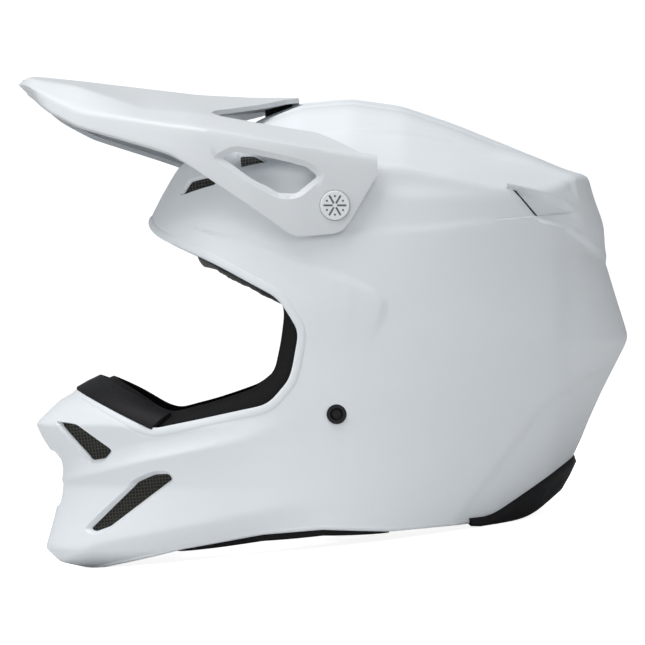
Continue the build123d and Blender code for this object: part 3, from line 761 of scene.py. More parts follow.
def finish_of(name):
    """The named finish, made once."""
    recipes = {
        "shell_paint": lambda: satin_paint("shell_paint", tuple(settings().shell_colour), 520),
        "visor_paint": lambda: satin_paint("visor_paint", tuple(settings().visor_colour), 700),
        "knob_paint": knob_paint,
        "trim_rubber": lambda: moulded_black("trim_rubber", (0.0045, 0.0045, 0.005), 1500, 0.55),
        "guard_nylon": lambda: moulded_black("guard_nylon", (0.008, 0.008, 0.009), 1100, 0.46),
        "bead_foam": bead_foam,
        "lining_knit": lambda: knitted_lining("lining_knit", (0.016, 0.016, 0.018), 0.0024),
        "cheek_knit": lambda: knitted_lining("cheek_knit", (0.020, 0.020, 0.023), 0.0019),
        "side_wire": lambda: woven_wire("side_wire", 1, 2),
        "front_wire": lambda: woven_wire("front_wire", 0, 2, 0.0030),
        "webbing": lambda: woven_webbing("webbing", (0.018, 0.018, 0.02), 0, 1),
        "tab_webbing": lambda: woven_webbing("tab_webbing", (0.36, 0.02, 0.015), 2, 1),
        "ring_steel": lambda: bare_metal("ring_steel", (0.72, 0.72, 0.74), 0.16),
        "brass": lambda: bare_metal("brass", (0.78, 0.58, 0.27), 0.24),
        "magnet_nickel": lambda: bare_metal("magnet_nickel", (0.66, 0.65, 0.63), 0.2),
        "black_oxide": lambda: bare_metal("black_oxide", (0.03, 0.03, 0.032), 0.34, metallic=0.8),
        "black_thread": lambda: thread("black_thread", (0.03, 0.03, 0.033)),
    }
    if name not in FINISHES:
        FINISHES[name] = recipes[name]()
    return FINISHES[name]


# ---- Settings -----------------------------------------------------------------------------------
class HelmetSettings(bpy.types.PropertyGroup):
    """Sizes and colours that are read when the pieces are built."""

    shell_colour: bpy.props.FloatVectorProperty(
        name="Shell Colour", description="Satin paint of the shell", subtype="COLOR", size=3,
        min=0, max=1, default=(0.70, 0.735, 0.765))
    visor_colour: bpy.props.FloatVectorProperty(
        name="Visor Colour", description="Satin paint of the visor", subtype="COLOR", size=3,
        min=0, max=1, default=(0.60, 0.627, 0.65))
    lip_width: bpy.props.FloatProperty(
        name="Eyeport Lip", description="Width of the raised lip round the eyeport", unit="LENGTH",
        min=0.001, max=0.01, default=0.0052)
    pad_voxel: bpy.props.FloatProperty(
        name="Pad Grain", description="Grid that the soft pads are meshed on", unit="LENGTH",
        min=0.002, max=0.01, default=0.0042)
    pad_swell: bpy.props.FloatProperty(
        name="Pad Swell", description="Most that a pad may puff up", unit="LENGTH",
        min=0, max=0.01, default=0.0028)
    shell_cuts: bpy.props.IntProperty(
        name="Shell Detail", description="Divisions of the shell's surface", min=20, max=200, default=104)


def settings():
    return bpy.context.scene.helmet


# ---- Shell --------------------------------------------------------------------------------------
UPPER_VENT = [(-156, -59), (-145, -60.5), (-124, -75), (-128, -80), (-136, -81.5)]
LOWER_VENT = [(-137, -121), (-108, -92.5), (-98, -88), (-90, -87.5), (-88, -90.5), (-125, -119),
              (-134, -122.5)]
BROW_VENT = [(-82, 74), (-77, 82), (-66, 84), (-62, 80)]
CROWN_VENT = [(-47, 90), (-32, 92), (-40, 97), (-48, 97)]
MOUTH_VENT = [(-10, -78), (10, -78), (7, -107), (-7, -107)]
HEAD_MIDDLE = (0.0, 10.0, 0.0)
INNER_CUTS, LIMIT_CUTS, GRILLE_CUTS = 46, 90, 70  # divisions of the balls that cut and trim pieces
FOAM_GAP = 0.5  # between the shell's inside and what lies behind it
KNOB_BORE, STRAP_BORE = 6.05, 5.65
EYEPORT_CORNER, LIP_OFFSET, LIP_HEIGHT = 6, 2.2, 1.9
BEAD_WIDTH, BEAD_HEIGHT = 4.2, 4.4
FAR = 300  # past the shell on every side


FINE_ZONES = {"scoop": ((98, 162), (42, 84)), "chin": ((-185, -60), (-150, -30))}  # side-view (y, z) boxes


def drawn_out(bm, depth):
    """Where a cube's places land when drawn out from the head's middle until they lie this deep."""
    aim = np.tan(np.array([tuple(v.co) for v in bm.verts]) * (math.pi / 4))
    aim = (aim / np.linalg.norm(aim, axis=1)[:, None]).T
    middle = np.array(HEAD_MIDDLE)[:, None]
    far = np.full(aim.shape[1], 330.0)
    reach = solve(0 * far, far, lambda t: middle + aim * t, depth)
    return (middle + aim * reach).T


def ball(name, cuts, depth, **finer):
    """A closed ball of squares at a depth in the shell, with extra cuts in the zones named."""
    bm = bmesh.new()
    bmesh.ops.create_cube(bm, size=2)
    bmesh.ops.subdivide_edges(bm, edges=bm.edges[:], cuts=cuts, use_grid_fill=True)
    places = drawn_out(bm, depth)
    for zone, extra in finer.items():
        bm.verts.index_update()
        (y_low, y_high), (z_low, z_high) = FINE_ZONES[zone]
        _, y, z = places.T
        within = (y > y_low) & (y < y_high) & (z > z_low) & (z < z_high)
        edges = [e for e in bm.edges if all(v.index < len(within) and within[v.index] for v in e.verts)]
        bmesh.ops.subdivide_edges(bm, edges=edges, cuts=extra, use_grid_fill=True)
    for vert, place in zip(bm.verts, drawn_out(bm, depth)):
        vert.co = place
    return finish_mesh(bm, name)


def side_skin(y, z):
    return Vector((float(skin_x(y, z)), y, z))


def front_skin(x, z):
    """The surface's place on the chin bar, seen from the front."""
    y = solve(np.array(0.0), np.array(230.0), lambda t: (x, 10 - t, z), 0.0)
    return Vector((x, 10 - float(y), z))


class HELMET_OT_shell(bpy.types.Operator):
    """Build the painted shell with its vents, eyeport lip and rolled rim"""

    bl_idname = "helmet.shell"
    bl_label = "Shell"

    def execute(self, context):
        paint = finish_of("shell_paint")
        shell = ball("shell", settings().shell_cuts, 0.0, scoop=2, chin=1)
        below = RIM + [(240, -400), (-240, -400)]
        cutters = [
            ball("cutter", INNER_CUTS, SHELL_WALL, scoop=5),
            prism(rounded(EYEPORT, EYEPORT_CORNER), -FAR, FAR),
            prism(below, -FAR, FAR),
            tapered_cutter(MOUTH_VENT, 2.0, 3.0, front_skin, corner=3, clear=24),
        ]
        for side in (1, -1):
            cutters += [
                tapered_cutter(UPPER_VENT, 1.6, 2.4, side_skin, side),
                tapered_cutter(LOWER_VENT, 2.2, 2.6, side_skin, side),
                tapered_cutter(BROW_VENT, 1.2, 1.6, side_skin, side),
                tapered_cutter(CROWN_VENT, 1.4, 1.8, side_skin, side),
                rod(*PIVOT[1:], KNOB_BORE, *sorted((side * 60, side * 200))),
                rod(*ANCHOR[1:], STRAP_BORE, *sorted((side * 60, side * 200))),
            ]
        carve(shell, cutters)
        smooth(shell, 32)
        place_piece(shell, "shell", paint, ["outer_shell"])

        lip = right_round(half_edge(grown_open(EYEPORT, LIP_OFFSET), 7, 0.3), 260)
        bm = bmesh.new()
        sweep(bm, lip, skin_normals(lip), oval(settings().lip_width / MM, LIP_HEIGHT, 12), closed=True)
        made(bm, "eyeport_lip", "shell_paint")

        rim = right_round(half_edge(RIM, 0, SHELL_WALL / 2), 360)
        bm = bmesh.new()
        sweep(bm, rim, skin_normals(rim), oval(BEAD_WIDTH, BEAD_HEIGHT, 10), closed=True)
        bead = finish_mesh(bm, "rim_bead")
        stand_on_floor(bead)
        place_piece(smooth(bead, 60), "shell", paint)
        return {"FINISHED"}


def grown_open(line, amount):
    """A side-view line that is open at the front, moved outwards all along."""
    return [tuple(p) for p in grown(line, amount)]


def stand_on_floor(thing):
    """Presses flat whatever lies below the floor."""
    for vert in thing.data.vertices:
        vert.co.z = max(vert.co.z, 0.0)


# ---- Rubber and nylon trims ---------------------------------------------------------------------
TRIM_EDGE = [(-240, -27), (-133, -27), (-108, -40.5), (-94, -49.5), (-86, -52), (-64.6, -46.5),
             (-52, -42.3), (-38, -37.3), (-27.2, -28), (-23.6, -11.2), (-21.6, 4.2), (-22.4, 11.2),
             (-27.5, 18.2), (-38, 24.0), (-50, 26.5), (-61, 31.5), (-66, 38), (-93, 51.5), (-99, 56.5),
             (-102, 63), (-240, 67)]
TRIM_SEAT, TRIM_REACH = 3.2, 10.0  # depths of the trim's outer and inner edges
TRIM_THICK, GUARD_THICK, RUBBER_THICK, REAR_GUARD_THICK = 2.6, 2.2, 2.2, 7.0
GUARD_FOOT = [(-240, -38.8), (-147.5, -38.8), (-99, -61.5)]
GUARD_TOP = [(-131, -31.5), (-114, -40), (-87.5, -52.5)]


class HELMET_OT_trims(bpy.types.Operator):
    """Build the eyeport trim, the nose guard and the rubber along the lower edge"""

    bl_idname = "helmet.trims"
    bl_label = "Trims"

    def execute(self, context):
        count = 240
        outer = right_round(half_edge(grown_open(EYEPORT, 0.8), EYEPORT_CORNER, TRIM_SEAT), count)
        inner = right_round(half_edge(TRIM_EDGE, 5, TRIM_REACH), count)
        bm = bmesh.new()
        strip(bm, outer, inner, skin_normals(outer), TRIM_THICK, 0.4, closed=True)
        made(bm, "eyeport_trim", "trim_rubber", ["eyeport_seal"])

        foot = right_round(half_edge(GUARD_FOOT, 3, -0.8), 90)
        top = resampled(GUARD_TOP, 0.2)
        share = np.linspace(0, 1, len(top))
        deep = -float(outside(0.0, *GUARD_TOP[0]))
        across = skin_x(top[:, 0], top[:, 1], deep + (6.0 - deep) * share ** 0.6)
        head = right_round(np.column_stack((across, top)), 90)
        bm = bmesh.new()
        ups = skin_normals(foot) + np.array((0, -0.2, 0.5))
        strip(bm, foot, head, ups, GUARD_THICK, 0.3)
        made(bm, "nose_guard_moulding", "guard_nylon", ["nose_guard"])

        line = [(y, z) for y, z in RIM if -80 <= y <= 38]
        line = [(-84, -129.9)] + line[1:]
        for side in (1, -1):
            rails = []
            for inner in (True, False):
                run = resampled(line, count=70)
                bulge = np.sin(np.pi * np.linspace(0, 1, 70)) ** 0.7
                run[:, 1] += 4.0 if inner else -(2.6 + 3.4 * bulge)
                x = skin_x(run[:, 0], run[:, 1], 5.0 if inner else 3.0)
                rails.append(np.column_stack((side * x, run)))
            bm = bmesh.new()
            strip(bm, *rails, skin_normals(rails[0]), RUBBER_THICK)
            name = "rim_rubber_left" if side > 0 else "rim_rubber_right"
            stands = ["rim_seal"] if side > 0 else []
            made(bm, name, "trim_rubber", stands)

        upper = [(84, -112.2), (97, -111.2), (150, -77.8), (240, -20)]
        lower = [(84, -116.0), (98, -117.2), (118, -113.2), (152, -88.6), (240, -22)]
        rails = []
        for line, depth in ((upper, 0.2), (lower, 0.8)):
            path = resampled(rounded(line, 8, closed=False), 0.2)
            path = path[outside(0 * path[:, 0], *path.T) < -depth]
            half = np.column_stack((skin_x(*path.T, depth), path))
            half[-1, 0] = 0
            half = resampled(half, count=80)
            rails.append(np.concatenate((half, half[-2::-1] * (-1, 1, 1))))
        bm = bmesh.new()
        strip(bm, *rails, skin_normals(rails[0]), REAR_GUARD_THICK, 0.4)
        guard = finish_mesh(bm, "rear_guard_moulding")
        stand_on_floor(guard)
        place_piece(smooth(guard, 60), "shell", finish_of("guard_nylon"), ["rear_rim_guard"])
        return {"FINISHED"}


# ---- Visor --------------------------------------------------------------------------------------
# place, ridge height, then top edge, crease and lower edge as (out, up)
STATIONS = np.array([
    (-178.5, 141.2, 22, 141, 29, 139.4, 31, 134.6), (-174.4, 145.4, 34, 144.2, 43, 140, 45.5, 131.4),
    (-168, 145.2, 45, 142, 55, 135.4, 57, 127.2),
    (-141, 142.5, 58, 137, 76, 121.5, 78, 113), (-103, 138, 78, 123, 95, 115.5, 98, 101.5),
    (-86, 136, 83, 121.5, 103, 112.5, 106, 96), (-74, 134.5, 86, 120.5, 108, 111, 111, 88),
    (-40, 132.8, 95, 113.7, 118, 104.7, 120, 65), (-16, 132.8, 99, 110, 122, 100, 122, 48),
    (12, 132.8, 101, 107.5, 122, 95.5, 122, 50.5), (31, 132.8, 102, 106, 122, 93, 122, 83),
]).T
RIDGE_HALF = 18.0
TIP_LEAN = 5.0
TONGUE_RIB = [(-72, 131.4), (-16, 131.0), (-15.5, 130.2), (-32, 126.2), (-60, 123.6), (-72, 123.4)]
NOTCH = [(19, -12), (24, -22), (48, -45), (70, -62), (79, -64), (86, -58), (98, -16), (101.5, -3),
         (119, 21), (121, 60), (19, 60)]
WINDOW = [(-57.3, 93), (-50.2, 96.8), (-9.6, 88), (-3, 82.6), (-15.1, 72.7), (-25.5, 73.2)]
HUB_RADIUS, HUB_INSIDE, ARM_OUTSIDE, POCKET_DEPTH = 11.0, 118.2, 122.0, 1.8
POCKET_RADIUS, SCREW_RADIUS = 8.6, 3.05
RIB_INSIDE, RIB_OUTSIDE = 12.5, 18.6


def visor_at(y):
    """Ridge height and the three edges of the visor's section at a place along it."""
    return [float(soften(row, STATIONS[0], y)) for row in STATIONS[1:]]


def visor_side(y, z):
    """The outside of the visor's side face."""
    _, _, _, crease_x, crease_z, low_x, low_z = visor_at(y)
    share = min(max((crease_z - z) / max(crease_z - low_z, 1), 0), 1)
    return Vector((crease_x + (low_x - crease_x) * share, y, z))


def visor_section(y, steps=4):
    """The visor's outer skin across one place, from its right hem to its left."""
    ridge, top_x, top_z, crease_x, crease_z, low_x, low_z = visor_at(y)
    hem = step(-78 - y, 14)
    corners = [(0, ridge), (RIDGE_HALF, ridge), (top_x, top_z), (crease_x, crease_z), (low_x, low_z),
               (low_x - 1.2 - 4.8 * hem, low_z - 0.8 * hem)]
    half = []
    for i, corner in enumerate(corners):
        corner = Vector(corner)
        if i in (0, len(corners) - 1):
            half.append(corner)
        else:
            into, out = corner - Vector(corners[i - 1]), Vector(corners[i + 1]) - corner
            soft = 2.2 if i < 4 else 1.2
            a = corner - into.normalized() * min(soft, 0.4 * into.length)
            b = corner + out.normalized() * min(soft, 0.4 * out.length)
            half += [a, 0.25 * a + 0.5 * corner + 0.25 * b, b]
        if i < len(corners) - 1:
            start = half[-1]
            ahead = Vector(corners[i + 1]) - start
            half += [start + ahead * (0.9 * k / steps) for k in range(1, steps)]
    back = TIP_LEAN * step(-166 - y, 22)  # the nose's front face leans back under its edge
    points = [(x, y + back * min(max((crease_z - z) / (crease_z - low_z), 0), 1), z) for x, z in half]
    return [(-x, y, z) for x, y, z in reversed(points[1:])] + points


class HELMET_OT_visor(bpy.types.Operator):
    """Build the peaked visor with its vent windows and knob hubs"""

    bl_idname = "helmet.visor"
    bl_label = "Visor"

    def execute(self, context):
        places = np.concatenate((np.linspace(-178.5, -166, 9), np.arange(-163, 31, 3.0), [31.0]))
        bm = bmesh.new()
        skin_rows(bm, [visor_section(y) for y in places], closed_row=False)
        visor = walled(bm, "visor_peak", Vector((0, 0, 1)), VISOR_WALL)
        carve(visor, [rod(*PIVOT[1:], HUB_RADIUS, *sorted((side * HUB_INSIDE, side * ARM_OUTSIDE)))
                      for side in (1, -1)], "UNION")
        behind = [(-60, -14), (60, -14), (60, 90), (-60, 90)]
        cutters = [prism(behind, 112, 170, "Z")]
        for side in (1, -1):
            cutters.append(prism([(side * x, y) for x, y in NOTCH], 30, 220, "Z"))
            cutters.append(tapered_cutter(WINDOW, 3.4, 2.2, visor_side, side, corner=2.0))
            pocket = sorted((side * (ARM_OUTSIDE - POCKET_DEPTH), side * 140))
            cutters.append(rod(*PIVOT[1:], POCKET_RADIUS, *pocket))
            cutters.append(rod(*PIVOT[1:], SCREW_RADIUS, *sorted((side * 100, side * 140))))
        carve(visor, cutters)
        ribs = [prism(TONGUE_RIB, *sorted((side * RIB_INSIDE, side * RIB_OUTSIDE))) for side in (1, -1)]
        carve(visor, ribs, "UNION")
        smooth(visor, 34)
        place_piece(visor, "visor", finish_of("visor_paint"), ["visor"])
        return {"FINISHED"}


# ---- Fitted foam and wire behind the shell ------------------------------------------------------
TRIMMED = {
    "head_foam": ("main_foam", "bead_foam", "impact_foam"),
    "chin_bar_foam": ("chin_foam", "bead_foam", "impact_foam"),
    "cheek_block_left": ("cheek_foam_left", "bead_foam", "impact_foam"),
    "cheek_block_right": ("cheek_foam_right", "bead_foam", "impact_foam"),
    "snap_plate_left": ("cheek_plate_left", "guard_nylon", "black_plastic"),
    "snap_plate_right": ("cheek_plate_right", "guard_nylon", "black_plastic"),
}
# painted shadow line: a thin dark strip of wire cloth just proud of the shell along the scoop's front edge,
# in place of the rear vent's mesh
SCOOP_SHADOW_LINE = [(109.6, 76.0), (111.4, 75.0), (123.6, 61.4), (122.2, 61.6)]
WIRE_DEPTH = 2.3
WIRE = {  # outline, how much wider it is than its opening, depth
    "upper_chin": (UPPER_VENT, 2.0, WIRE_DEPTH),
    "lower_chin": (LOWER_VENT, 2.0, WIRE_DEPTH),
    "brow": (BROW_VENT, 2.0, WIRE_DEPTH),
    "crown": (CROWN_VENT, 2.0, WIRE_DEPTH),
    # the painted shadow line along the scoop's front edge, laid 0.5 mm proud of the shell
    "rear": (SCOOP_SHADOW_LINE, 0.0, -0.5),
}
WIRE_THICK = 0.8


def wire_panel(name, outline, deep, side):
    """A curved panel of wire cloth that lies this deep behind a side-view outline."""
    corners = [Vector(p) for p in outline]
    middle = sum(corners, Vector((0, 0))) / len(corners)
    span = max((c - middle).length for c in corners)
    bm = bmesh.new()
    place = Matrix.Translation((0, *middle)) @ Matrix.Rotation(math.pi / 2, 4, "Y")
    bmesh.ops.create_grid(bm, x_segments=34, y_segments=34, size=span, matrix=place)
    for a, b in zip(corners, corners[1:] + corners[:1]):
        across = Vector((0, (b - a).y, -(b - a).x))
        if across.dot(Vector((0, *(middle - a)))) > 0:
            across = -across
        bmesh.ops.bisect_plane(bm, geom=bm.verts[:] + bm.edges[:] + bm.faces[:], plane_co=(0, *a),
                               plane_no=across, clear_outer=True)
    y, z = np.array([tuple(v.co)[1:] for v in bm.verts]).T
    for vert, x in zip(bm.verts, skin_x(y, z, deep)):
        vert.co.x = side * float(x)
    return walled(bm, name, Vector((side, 0, 0)), WIRE_THICK)


class HELMET_OT_foam(bpy.types.Operator):
    """Build the impact foam, the cheek blocks and the wire panels that lie behind the shell, and a dark wire
    strip on the scoop's edge that is a painted shadow line
    """

    bl_idname = "helmet.foam"
    bl_label = "Foam and Wire"

    def execute(self, context):
        limit = ball("limit", LIMIT_CUTS, SHELL_WALL + FOAM_GAP)
        for name, (node, finish, slot) in TRIMMED.items():
            bm = bmesh.new()
            bm.from_mesh(frame["nodes"][node].data)
            block = finish_mesh(bm, name, Matrix.Identity(4))
            carve(block, [link(limit.data, "cutter")], "INTERSECT")
            place_piece(smooth(block, 30), "shell", finish_of(finish), [node])
        grille = prism(grown([Vector(p) for p in MOUTH_VENT], 3.0), -230, -60, "Y")
        grille.name = "mouth_wire"
        carve(grille, [link(limit.data, "cutter")], "INTERSECT")
        carve(grille, [ball("cutter", GRILLE_CUTS, SHELL_WALL + FOAM_GAP + WIRE_THICK)])
        place_piece(smooth(grille, 30), "shell", finish_of("front_wire"), ["mouth_grille"])
        bpy.data.objects.remove(limit)
        for place, (outline, margin, deep) in WIRE.items():
            wider = grown(outline, margin)
            for word, side in (("left", 1), ("right", -1)):
                panel = wire_panel(f"{place}_wire_{word}", wider, deep, side)
                place_piece(smooth(panel, 40), "shell", finish_of("side_wire"),
                            [f"{place}_mesh_{word}"])
        return {"FINISHED"}


# ---- Padding ------------------------------------------------------------------------------------
def puffed(node, name, swell):
    """A soft pad: a copy of a fitted block, meshed evenly and blown up a little as cloth."""
    bm = bmesh.new()
    bm.from_mesh(frame["nodes"][node].data)
    bmesh.ops.remove_doubles(bm, verts=bm.verts[:], dist=2e-5)
    pad = finish_mesh(bm, name, Matrix.Identity(4))
    grid = pad.modifiers.new("grid", "REMESH")
    grid.mode, grid.voxel_size = "VOXEL", settings().pad_voxel
    settle(pad)
    start = coordinates(pad)
    cloth = pad.modifiers.new("puff", "CLOTH")
    cloth.settings.use_pressure = True
    cloth.settings.uniform_pressure_force = 4
    cloth.settings.effector_weights.gravity = 0
    for number in range(1, 21):
        bpy.context.scene.frame_set(number)
    settle(pad)
    bpy.context.scene.frame_set(1)
    moved = coordinates(pad) - start
    reach = np.linalg.norm(moved, axis=1)[:, None]
    moved *= np.minimum(1, swell / np.maximum(reach, 1e-9))
    pad.data.vertices.foreach_set("co", (start + moved).ravel())
    bm = bmesh.new()
    bm.from_mesh(pad.data)
    for _ in range(4):
        bmesh.ops.smooth_vert(bm, verts=bm.verts[:], factor=0.5, use_axis_x=True, use_axis_y=True,
                              use_axis_z=True)
    bm.to_mesh(pad.data)
    bm.free()
    finer = pad.modifiers.new("finer", "SUBSURF")
    finer.levels = finer.render_levels = 1
    settle(pad)
    return pad


def coordinates(thing):
    places = np.empty(3 * len(thing.data.vertices))
    thing.data.vertices.foreach_get("co", places)
    return places.reshape(-1, 3)


def press_channel(thing, distance, inward, depth, width):
    """Sews a channel in: vertices near it are pulled in along a direction."""
    places = coordinates(thing)
    normals = np.array([tuple(v.normal) for v in thing.data.vertices])
    facing = np.clip(-(normals * inward(places)).sum(axis=1), 0, 1)
    pull = depth * np.exp(-(distance(places) / width) ** 2) * facing
    thing.data.vertices.foreach_set("co", (places + inward(places) * pull[:, None]).ravel())
    thing.data.update()


def stitches(bm, path, ups, length, gap, thick):
    """A run of raised stitches laid along a path."""
    path = np.asarray(path, float)
    run = np.linalg.norm(np.diff(path, axis=0), axis=1)
    total = np.concatenate(([0], np.cumsum(run)))
    at = np.arange(gap, total[-1] - length, length + gap)

    def along(rows, where):
        return Vector([np.interp(where, total, rows[:, k]) for k in range(3)])

    for begin in at:
        a, b = along(path, begin), along(path, begin + length)
        up = along(np.asarray(ups), begin + length / 2).normalized()
        ahead = (b - a).normalized()
        side = ahead.cross(up).normalized()
        turn = Matrix((side, up, ahead)).transposed().to_4x4()
        place = Matrix.Translation((a + b) / 2 + up * (0.2 * thick)) @ turn
        bmesh.ops.create_cone(bm, cap_ends=True, segments=6, radius1=thick * 0.5, radius2=thick * 0.5,
                              depth=length * 0.8, matrix=place)
        for end, back in ((a, 1), (b, -1)):
            tip = Matrix.Translation(end + ahead * (back * 0.08 * length)) @ turn
            bmesh.ops.create_icosphere(bm, subdivisions=1, radius=thick * 0.48, matrix=tip)


def on_mesh(thing, points, aim):
    """Each place moved along a direction until it lies on a piece, with the surface's normals."""
    tree = BVHTree.FromObject(thing, bpy.context.evaluated_depsgraph_get())
    found, ups = [], []
    for point in points:
        place, normal, _, _ = tree.ray_cast(Vector(point), Vector(aim(point)).normalized())
        if place is not None:
            found.append(tuple(place))
            ups.append(tuple(normal))
    return found, ups


STITCH_THICK = 0.0007
CHEEK_STITCH, CROWN_STITCH = (0.0030, 0.0012), (0.0032, 0.0014)  # length and gap
CHEEK_SEAM = [(-54, -66), (-30, -53), (-17, -38), (-4, -20), (16, -42), (52, -58), (52, -90), (-54, -104)]


class HELMET_OT_padding(bpy.types.Operator):
    """Build the soft cheek covers, the crown lining and the neck roll, with their sewing"""

    bl_idname = "helmet.padding"
    bl_label = "Padding"

    def execute(self, context):
        swell = settings().pad_swell
        cheek = puffed("cheek_cover_left", "cheek_pad_left", swell)
        places = coordinates(cheek)
        seam = resampled(rounded([Vector(p) for p in CHEEK_SEAM + CHEEK_SEAM[:1]], 6, closed=False), 1.0)
        start = [LEVEL_TO_ROW @ Vector((30, y, z)) for y, z in seam]
        on_face, ups = on_mesh(cheek, start, lambda p: (1, 0, 0))
        sewn = np.array(on_face)

        def from_seam(points):
            gap = np.full(len(points), 1.0)
            for place in sewn[::2]:
                gap = np.minimum(gap, np.linalg.norm(points - place, axis=1))
            return gap

        press_channel(cheek, from_seam, lambda p: np.tile((1.0, 0.0, 0.0), (len(p), 1)), 0.0022, 0.0026)
        on_face, ups = on_mesh(cheek, start, lambda p: (1, 0, 0))
        right = mirrored(cheek, "cheek_pad_right")
        bm = bmesh.new()
        stitches(bm, on_face, ups, *CHEEK_STITCH, STITCH_THICK)
        sewing = finish_mesh(bm, "cheek_stitching_left", Matrix.Identity(4), flip=False)
        sewing_right = mirrored(sewing, "cheek_stitching_right")
        knit = finish_of("cheek_knit")
        for pad, thread_run, side in ((cheek, sewing, "left"), (right, sewing_right, "right")):
            place_piece(smooth(pad, 80), "shell", knit, [f"cheek_cover_{side}"])
            place_piece(smooth(thread_run, 60), "shell", finish_of("black_thread"))

        crown = puffed("crown_pad", "crown_lining", swell * 0.6)
        middle = LEVEL_TO_ROW @ Vector((0, 26, 10))

        def outward(points):
            away = points - np.array(middle)
            return away / np.linalg.norm(away, axis=1)[:, None]

        for offset in (-32, 32):
            press_channel(crown, lambda p: p[:, 0] - offset * MM, outward, 0.0026, 0.0032)
        for height in (28, 62):
            level = (LEVEL_TO_ROW @ Vector((0, 26, height))).z
            press_channel(crown, lambda p: (p[:, 2] - level), outward, 0.0024, 0.0032)
        place_piece(smooth(crown, 80), "shell", finish_of("lining_knit"), ["crown_pad"])
        bm = bmesh.new()
        for side in (1, -1):
            for offset in (29.5, 34.5):
                arc = [LEVEL_TO_ROW @ Vector((side * offset, 26 + 4 * math.cos(a), 8 + 4 * math.sin(a)))
                       for a in np.linspace(0.25, math.pi - 0.15, 160)]
                hub = LEVEL_TO_ROW @ Vector((side * offset, 26, 8))
                places, ups = on_mesh(crown, arc, lambda p: p - hub)
                stitches(bm, places, ups, *CROWN_STITCH, STITCH_THICK)
        made(bm, "crown_stitching", "black_thread", place=Matrix.Identity(4), flip=False)

        roll = puffed("neck_roll", "neck_padding", swell)
        place_piece(smooth(roll, 80), "shell", finish_of("lining_knit"), ["neck_roll"])
        return {"FINISHED"}


# ---- Chin strap ---------------------------------------------------------------------------------
STRAP_WIDE, STRAP_THICK = 25.0, 1.8
SHORT_RUN = [(98.6, 7), (98.6, -12), (87, -24), (87, -62), (42, -62), (36, -60.15), (25.2, -60.15),
             (25.2, -65.65), (34, -65.65), (40, -63.85), (51, -63.85)]
LONG_RUN = [(-98.6, 7), (-98.6, -12), (-87, -24), (-87, -62), (8.75, -62), (8.75, -67.5), (-46, -67.5)]
TAB_PLACE = (75.1, -48.0, -107.0)


def webbing_run(name, corners, nodes, radii):
    """A ribbon of webbing along a front-view line, with selvedges."""
    points = [Vector(p) for p in corners]
    line = []
    for i, corner in enumerate(points):
        if i in (0, len(points) - 1):
            line.append(corner)
            continue
        into, out = corner - points[i - 1], points[i + 1] - corner
        bend = min(radii[i], 0.48 * into.length, 0.48 * out.length)
        a, b = corner - into.normalized() * bend, corner + out.normalized() * bend
        line += [(1 - t) ** 2 * a + 2 * t * (1 - t) * corner + t ** 2 * b for t in np.linspace(0, 1, 7)]
    line = resampled(line, 1.5)
    path = [Vector((x, 0, z)) for x, z in line]
    ups = []
    for i in range(len(path)):
        run = path[min(i + 1, len(path) - 1)] - path[max(i - 1, 0)]
        ups.append(Vector((0, 1, 0)).cross(run).normalized())
    half, thick = STRAP_WIDE / 2, STRAP_THICK / 2
    upper = [(-half, thick * 0.7), (-half + 0.9, thick), (-half + 2.2, thick * 0.86), (0, thick * 0.92),
             (half - 2.2, thick * 0.86), (half - 0.9, thick), (half, thick * 0.7)]
    under = [(u, -v) for u, v in upper]
    section = under[:1] + upper + under[:0:-1]
    bm = bmesh.new()
    sweep(bm, path, ups, section)
    made(bm, name, "webbing", nodes, "chin_strap", HANGING_TO_ROW, angle=50)


def stitch_box(bm, low, high, level, up, cross=True):
    """A sewn box with a cross in it, on a level stretch of webbing."""
    side = STRAP_WIDE / 2 - 3
    corners = [(low, -side), (high, -side), (high, side), (low, side), (low, -side)]
    runs = [corners] + ([[(low, -side), (high, side)], [(low, side), (high, -side)]] if cross else [])
    for run in runs:
        path = resampled(run, 0.5)
        places = [(x, y, level) for x, y in path]
        stitches(bm, places, [(0, 0, up)] * len(places), 2.2, 0.8, 0.7)


class HELMET_OT_strap(bpy.types.Operator):
    """Build the chin strap's webbing, its sewing and the cheek pads' pull tabs"""

    bl_idname = "helmet.strap"
    bl_label = "Chin Strap"

    def execute(self, context):
        webbing_run("strap_webbing_short", SHORT_RUN, ["strap_short"], [0, 8, 8, 8, 4, 3, 2.7, 2.7, 3, 3, 0])
        webbing_run("strap_webbing_long", LONG_RUN, ["strap_long"], [0, 8, 8, 8, 2.7, 2.7, 0])
        bm = bmesh.new()
        stitch_box(bm, 41, 50, -62 + STRAP_THICK / 2, 1)
        stitch_box(bm, 41, 50, -63.85 - STRAP_THICK / 2, -1)
        stitch_box(bm, -45, -42.5, -67.5 - STRAP_THICK / 2, -1, cross=False)
        made(bm, "strap_stitching", "black_thread", (), "chin_strap", HANGING_TO_ROW, False)

        for side in (1, -1):
            lean = Matrix.Translation(LEVEL_TO_ROW @ Vector((side * TAB_PLACE[0], *TAB_PLACE[1:])))
            place = lean @ Matrix.Scale(MM, 4)
            loop = [(-7.5, 1), (-7.5, -12), (7.5, -12), (7.5, 1)]
            line = resampled(rounded(loop, 6, closed=False, steps=8), 1.0)
            path = [Vector((0, y, z)) for y, z in line]
            bm = bmesh.new()
            sweep(bm, path, [Vector((1, 0, 0))] * len(path), slab(4.6, 1.7, 0.5))
            name = "left" if side > 0 else "right"
            made(bm, f"pull_tab_{name}", "tab_webbing", [f"release_tab_{name}"], place=place,
                 angle=50)
        return {"FINISHED"}


# ---- Pieces that keep their fitted shape --------------------------------------------------------
KEPT = {
    "trim_rubber": ["visor_stop_pad"],
    "knob_paint": ["visor_knob_left", "visor_knob_right"],
    "brass": ["visor_insert_left", "visor_insert_right"],
    "magnet_nickel": ["crown_magnet", "visor_magnet"],
    "black_oxide": ["strap_rivet_left", "strap_rivet_right", "strap_snap"],
    "ring_steel": ["d_ring_first", "d_ring_second", "anchor_plate_left", "anchor_plate_right"],
}


